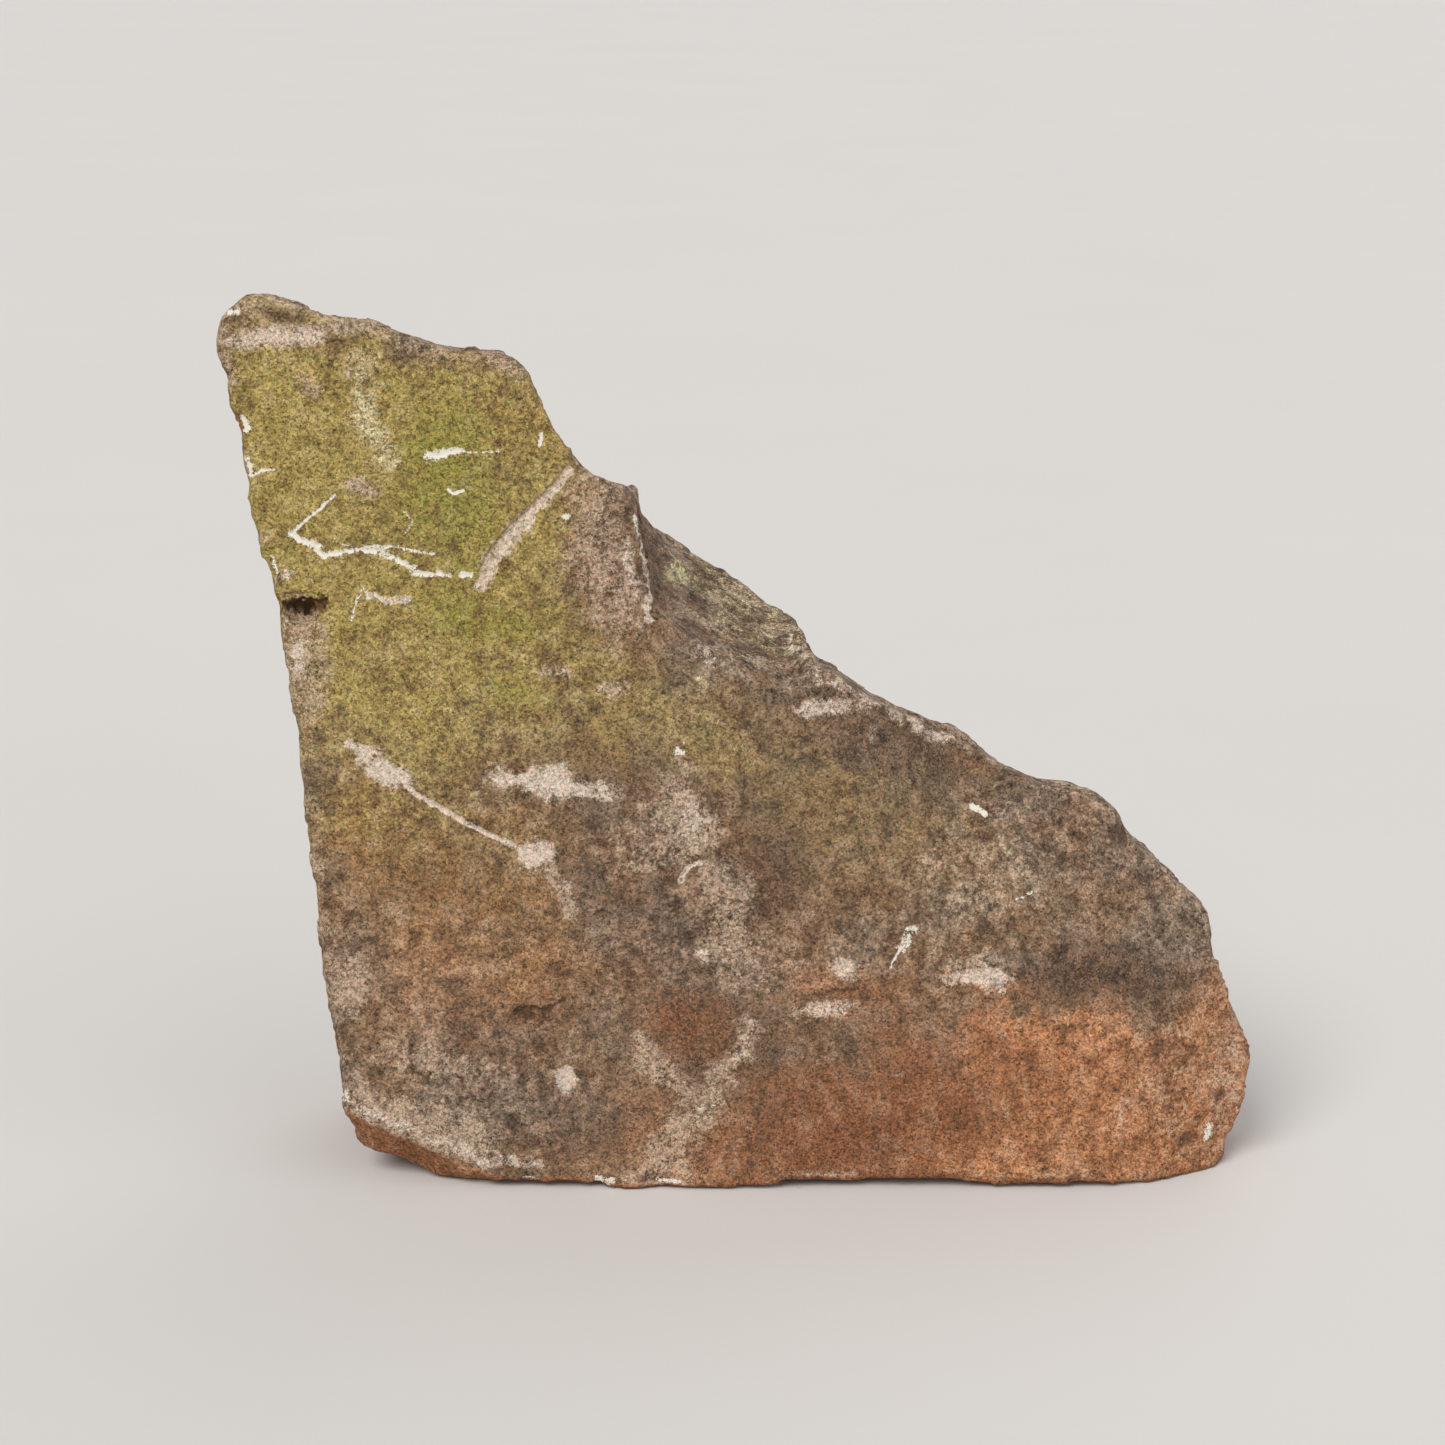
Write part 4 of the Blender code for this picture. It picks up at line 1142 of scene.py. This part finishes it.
class Grain:
    """The noises that the stone's finish is made from, as wires of one graph.

    Dust, small, middle and large are soft noises. Parts and hue are two steady numbers for each crystal.
    Mottle moves a tone from dark to light, fray roughens edges and spread breaks up a coat.
    """

    def __init__(self, graph: Graph, finish: "StoneFinish") -> None:
        """Adds the noises at the sizes that the finish gives.

        Args:
            graph: the nodes that the noises are added to.
            finish: the sizes.
        """
        self.where = graph.node("ShaderNodeTexCoord", take="Object")
        self.dust = graph.noise(self.where, finish.dust, detail=2.0, roughness=0.7)
        self.small = graph.noise(self.where, finish.small, detail=3.0, roughness=0.65)
        self.middle = graph.noise(self.where, finish.middle, detail=5.0, roughness=0.62)
        self.large = graph.noise(self.where, finish.large, detail=5.0, roughness=0.6)
        cells = {"Vector": self.where, "Scale": 1 / (finish.crystal * MM)}
        crystals = graph.node("ShaderNodeTexVoronoi", {}, cells, "Color")
        self.parts = graph.node("ShaderNodeSeparateColor", {}, {"Color": crystals}, "Red")
        self.hue = graph.node("ShaderNodeSeparateColor", {}, {"Color": crystals}, "Green")
        dust, small, middle, large = (one - 0.5 for one in (self.dust, self.small, self.middle, self.large))
        hue = self.hue - 0.5
        self.mottle = (0.50 * self.middle + 0.22 * self.large + 0.28 * self.small).rise(0.38, 0.62)
        self.fray = 1.1 * small + 1.0 * middle + 1.0 * dust + 0.35 * hue
        self.spread = 1.2 * large + 2.2 * middle + 1.7 * small + 0.6 * hue
        self.crumbs = 2.2 * dust + 1.7 * small + 0.3 * (self.parts - 0.5)


@dataclass(frozen=True)
class StoneFinish:
    """The stone's colours in linear light, the sizes of its noises, and how strongly each layer shows.

    Sizes and the bump's depth are in millimetres. A cover is the most that a layer hides of what is under it.
    """

    rock_dark: Colour = (0.158, 0.099, 0.062)
    rock_light: Colour = (0.270, 0.183, 0.121)
    ochre_dark: Colour = (0.200, 0.105, 0.048)
    ochre_light: Colour = (0.350, 0.215, 0.110)
    algae_dark: Colour = (0.250, 0.178, 0.048)
    algae_light: Colour = (0.400, 0.308, 0.098)
    green: Colour = (0.225, 0.212, 0.034)
    grey_dark: Colour = (0.118, 0.072, 0.050)
    grey_light: Colour = (0.325, 0.226, 0.158)
    iron_dark: Colour = (0.295, 0.117, 0.050)
    iron_light: Colour = (0.535, 0.238, 0.108)
    iron_wash: Colour = (0.560, 0.340, 0.220)
    pale: Colour = (0.440, 0.320, 0.235)
    bare_and_highlight: Colour = (0.695, 0.562, 0.472)
    chalk: Colour = (0.860, 0.800, 0.680)
    rust_and_shade: Colour = (0.190, 0.072, 0.032)
    crust: Colour = (0.580, 0.500, 0.290)
    soil_and_shade: Colour = (0.070, 0.034, 0.016)
    film: Colour = (0.54, 0.47, 0.43)
    clean: Colour = (1.0, 1.0, 1.0)
    warm: Colour = (1.08, 0.98, 0.86)
    cool: Colour = (0.95, 1.00, 1.05)
    warm_crystal: Colour = (1.10, 0.97, 0.90)
    cool_crystal: Colour = (0.92, 1.03, 1.01)
    crystal: float = 0.95
    dust: float = 0.55
    small: float = 3.0
    middle: float = 9.0
    large: float = 38.0
    drift: float = 26.0
    flecks: float = 9.0
    ripples: float = 10.0
    ripple_stretch: tuple[float, float, float] = (1.0, 1.0, 0.42)
    blotches: float = 5.5
    stain_cover: float = 0.93
    green_cover: float = 0.7
    rust_and_shade_cover: float = 0.85
    fleck_cover: float = 0.45
    fleck_shade: float = 0.30
    wash_cover: float = 0.42
    ripple_shade: float = 0.27
    pale_cover: float = 0.85
    bare_and_highlight_cover: float = 0.88
    blotch_shade: float = 0.45
    crystal_contrast: float = 1.80
    small_contrast: float = 0.30
    bare_and_highlight_calm: float = 0.4
    chalk_cover: float = 0.95
    soil_and_shade_cover: float = 0.93
    bump_strength: float = 0.55
    bump_depth: float = 0.9

    def build(self) -> bpy.types.Material:
        """Makes the material.

        Returns:
            The finish, which reads the stone's coats.
        """
        graph = Graph("granite_weathered")
        grain = Grain(graph, self)
        tone = self.stained(graph, grain)
        tone = self.flecked(graph, grain, tone)
        tone = self.rippled(graph, grain, tone)
        film = (graph.coat(Coat.FILM) * (1 + 1.6 * grain.spread)).rise(0.05, 1.0)
        tone = tone * graph.blend(self.clean, self.film, film)
        # Pale stone and knocked edges, with painted light on the faces that look up and along the crown's top
        # edge.
        pale = graph.coat(Coat.PALE) * (1 + 0.9 * grain.spread) + 0.6 * grain.fray
        tone = graph.blend(tone, self.pale, self.pale_cover * pale.rise(0.15, 0.95))
        # Bare stone, and painted highlight along some rims and on the crown's top edge, both in the bare
        # colour.
        bare_and_highlight = self.frayed(graph, Coat.BARE_AND_HIGHLIGHT, 0.8 * grain.fray).rise(0.24, 0.88)
        tone = graph.blend(tone, self.bare_and_highlight, self.bare_and_highlight_cover * bare_and_highlight)
        crust = self.frayed(graph, Coat.CRUST, 0.6 * grain.fray).rise(0.22, 0.85)
        tone = graph.blend(tone, self.crust, crust)
        tone = self.grained(graph, grain, tone, bare_and_highlight)
        chalk = self.frayed(graph, Coat.CHALK, grain.crumbs).rise(0.38, 0.62)
        tone = graph.blend(tone, self.chalk, self.chalk_cover * chalk)
        # Dark soil in pits and cracks, painted shadow in recesses and along the upper edges of marks, and
        # darker creases.
        soil_and_shade = self.frayed(graph, Coat.SOIL_AND_SHADE, 0.8 * grain.fray).rise(0.25, 0.9)
        tone = graph.blend(tone, self.soil_and_shade, self.soil_and_shade_cover * soil_and_shade)

        relief = 0.5 * grain.dust + 0.8 * grain.small + 0.35 * grain.parts
        relief = relief + 1.2 * (grain.middle * graph.coat(Coat.ROUGH))
        return graph.finish(
            {
                "Base Color": tone,
                "Roughness": 0.93 - 0.12 * bare_and_highlight - 0.10 * grain.parts,
                "Normal": graph.bump(relief, self.bump_strength, self.bump_depth),
                "Specular IOR Level": 0.35,
            }
        )

    def stained(self, graph: Graph, grain: Grain) -> Wire:
        """Colours the rock, and lays the coats that soak into it.

        Args:
            graph: the material's nodes.
            grain: its noises.

        Returns:
            The colour so far.
        """
        drift = graph.noise(grain.where, self.drift, detail=4.0, roughness=0.6).rise(0.36, 0.64)
        tone = graph.blend(self.rock_dark, self.rock_light, grain.mottle)
        layers = (
            (Coat.OCHRE, self.ochre_dark, self.ochre_light),
            (Coat.GREY, self.grey_dark, self.grey_light),
            (Coat.IRON, self.iron_dark, self.iron_light),
            (Coat.ALGAE, self.algae_dark, self.algae_light),
        )
        for coat, dark, light in layers:
            if coat is Coat.IRON:
                tone = tone * graph.blend(self.warm, self.cool, drift)
            own = graph.blend(dark, light, grain.mottle)
            share = (graph.coat(coat) * (1.0 + 0.9 * grain.spread)).rise(0.0, 0.84)
            tone = graph.blend(tone, own, self.stain_cover * share)
        broken = 1 + 1.3 * grain.spread
        green = (graph.coat(Coat.GREEN) * broken).rise(0.2, 1.1)
        tone = graph.blend(tone, self.green, self.green_cover * green)
        # Dark rust stains, and beneath the stone a dark rust that also stands in for painted shade.
        rust_and_shade = (graph.coat(Coat.RUST_AND_SHADE) * broken).rise(0.05, 0.9)
        return graph.blend(tone, self.rust_and_shade, self.rust_and_shade_cover * rust_and_shade)

    def flecked(self, graph: Graph, grain: Grain, tone: Wire) -> Wire:
        """Adds pale and dark flecks, fewer where algae or iron lie.

        Args:
            graph: the material's nodes.
            grain: its noises.
            tone: the colour so far.

        Returns:
            The colour with its flecks.
        """
        flecks = graph.noise(grain.where, self.flecks, detail=5.0, roughness=0.68)
        calm = 1 - 0.55 * graph.coat(Coat.ALGAE) - 0.4 * graph.coat(Coat.IRON)
        tone = graph.blend(tone, self.pale, self.fleck_cover * (calm * flecks.rise(0.51, 0.68)))
        return tone * (1 - self.fleck_shade * (calm * (1 - flecks.rise(0.33, 0.49))))

    def rippled(self, graph: Graph, grain: Grain, tone: Wire) -> Wire:
        """Adds upright pale and dark streaks to the iron stain.

        Args:
            graph: the material's nodes.
            grain: its noises.
            tone: the colour so far.

        Returns:
            The colour with its streaks.
        """
        stained = graph.coat(Coat.IRON)
        ripples = graph.noise(grain.where * self.ripple_stretch, self.ripples, detail=4.0, roughness=0.62)
        tone = graph.blend(tone, self.iron_wash, self.wash_cover * (stained * ripples.rise(0.50, 0.68)))
        return tone * (1 - self.ripple_shade * (stained * (1 - ripples.rise(0.32, 0.50))))

    def grained(self, graph: Graph, grain: Grain, tone: Wire, bare_and_highlight: Wire) -> Wire:
        """Adds the blotches of the grey coat and the crystals, which are calmer on bare stone and on the
        painted highlight laid with it.

        Args:
            graph: the material's nodes.
            grain: its noises.
            tone: the colour so far.
            bare_and_highlight: how much bare stone and painted highlight shows.

        Returns:
            The colour with its grain.
        """
        blotch = graph.noise(grain.where, self.blotches, detail=3.0, roughness=0.6).rise(0.54, 0.64)
        tone = tone * (1 - self.blotch_shade * (blotch * graph.coat(Coat.GREY)))
        speck = 0.55 * grain.parts + 0.45 * grain.dust.rise(0.28, 0.72) - 0.5
        soft = self.small_contrast * (grain.small.rise(0.3, 0.7) - 0.5)
        speckle = 1 + (self.crystal_contrast * speck + soft) * (1 - self.bare_and_highlight_calm * bare_and_highlight)
        return tone * speckle * graph.blend(self.warm_crystal, self.cool_crystal, grain.hue)

    def frayed(self, graph: Graph, coat: Coat, noise: Wire) -> Wire:
        """Roughens a coat's edge with noise, which fades where there is none of the coat."""
        cover = graph.coat(coat)
        return cover + noise * cover.rise(0.0, 0.25)


@dataclass(frozen=True)
class Lamp:
    """One soft studio light, far enough off to light the floor evenly.

    It comes from a direction, spreads over an angle in degrees, and has a power in watts a square metre.
    """

    name: str
    comes_from: tuple[float, float, float]
    spread: float
    power: float
    colour: Colour = (1.0, 1.0, 1.0)


@dataclass
class Studio:
    """The plain floor, the soft lights and the camera, which stands off from the middle of the stone."""

    reach: float = 30.0
    floor_colour: Colour = (0.70, 0.67, 0.64)
    floor_shade: float = 0.955
    floor_clouds: float = 420.0
    floor_tooth: float = 2.5
    world_colour: Colour = (0.93, 0.96, 1.0)
    world_strength: float = 0.42
    lens: float = 72.0
    sensor: float = 36.0
    stand_off: tuple[float, float, float] = (-0.0144, -1.3982, 0.4290)
    pitch: float = 73.0
    lamps: tuple[Lamp, ...] = (
        Lamp("key", (-0.45, -0.65, 0.85), 34.0, 1.95, (1.0, 0.985, 0.96)),
        Lamp("fill", (0.85, -0.60, 0.45), 70.0, 0.75, (1.0, 0.98, 0.95)),
        Lamp("back", (0.4, 0.8, 0.7), 50.0, 0.5),
    )

    def build(self) -> None:
        """Lays the floor and sets up the light and the camera."""
        self.floor()
        self.world()
        for lamp in self.lamps:
            self.light(lamp)
        self.camera()

    def floor(self) -> None:
        """Lays the floor, level with the stone's foot."""
        mesh = bpy.data.meshes.new("studio_floor")
        corners = [(x * self.reach, y * self.reach, 0.0) for x, y in ((-1, -1), (1, -1), (1, 1), (-1, 1))]
        mesh.from_pydata(corners, [], [(0, 1, 2, 3)])
        plane = bpy.data.objects.new("studio_floor", mesh)
        bpy.context.scene.collection.objects.link(plane)
        mesh.materials.append(self.floor_finish())
        log.info("studio_floor: %.0f m across", 2 * self.reach)

    def floor_finish(self) -> bpy.types.Material:
        """Makes the floor's matt, faintly clouded finish.

        Returns:
            The material.
        """
        graph = Graph("studio_floor")
        where = graph.node("ShaderNodeTexCoord", take="Object")
        cloud = graph.noise(where, self.floor_clouds, detail=3.0)
        tooth = graph.noise(where, self.floor_tooth, detail=3.0)
        dark = tuple(self.floor_shade * part for part in self.floor_colour)
        colour = graph.blend(dark, self.floor_colour, cloud)
        return graph.finish({"Base Color": colour, "Roughness": 0.85, "Normal": graph.bump(tooth, 0.2, 0.4)})

    def world(self) -> None:
        """Fills the room with even daylight."""
        world = bpy.data.worlds.new("studio")
        world.use_nodes = True
        background = world.node_tree.nodes["Background"]
        background.inputs["Color"].default_value = (*self.world_colour, 1.0)
        background.inputs["Strength"].default_value = self.world_strength
        bpy.context.scene.world = world
        bpy.context.scene.view_settings.view_transform = "Standard"

    def light(self, lamp: Lamp) -> None:
        """Hangs one lamp.

        Args:
            lamp: its direction, spread, power and colour.
        """
        data = bpy.data.lights.new(lamp.name, "SUN")
        data.angle = math.radians(lamp.spread)
        data.energy = lamp.power
        data.color = lamp.colour
        holder = bpy.data.objects.new(lamp.name, data)
        holder.location = lamp.comes_from
        holder.rotation_euler = Vector(lamp.comes_from).to_track_quat("Z", "Y").to_euler()
        bpy.context.scene.collection.objects.link(holder)
        log.info("lamp %s: %.2f W/m2", lamp.name, lamp.power)

    def camera(self) -> None:
        """Stands the camera in front of the face, looking a little down."""
        low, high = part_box(NODE)
        data = bpy.data.cameras.new("camera")
        data.lens = self.lens
        data.sensor_width = self.sensor
        data.clip_end = 4 * self.reach
        holder = bpy.data.objects.new("camera", data)
        holder.location = (low + high) / 2 + Vector(self.stand_off)
        holder.rotation_euler = (math.radians(self.pitch), 0.0, 0.0)
        bpy.context.scene.collection.objects.link(holder)
        bpy.context.scene.camera = holder


def main() -> None:
    """Builds the stone and then the studio round it."""
    logging.basicConfig(level=logging.INFO, format="%(name)s %(message)s")
    StoneSlab().build()
    Studio().build()


if __name__ == "__main__":
    main()
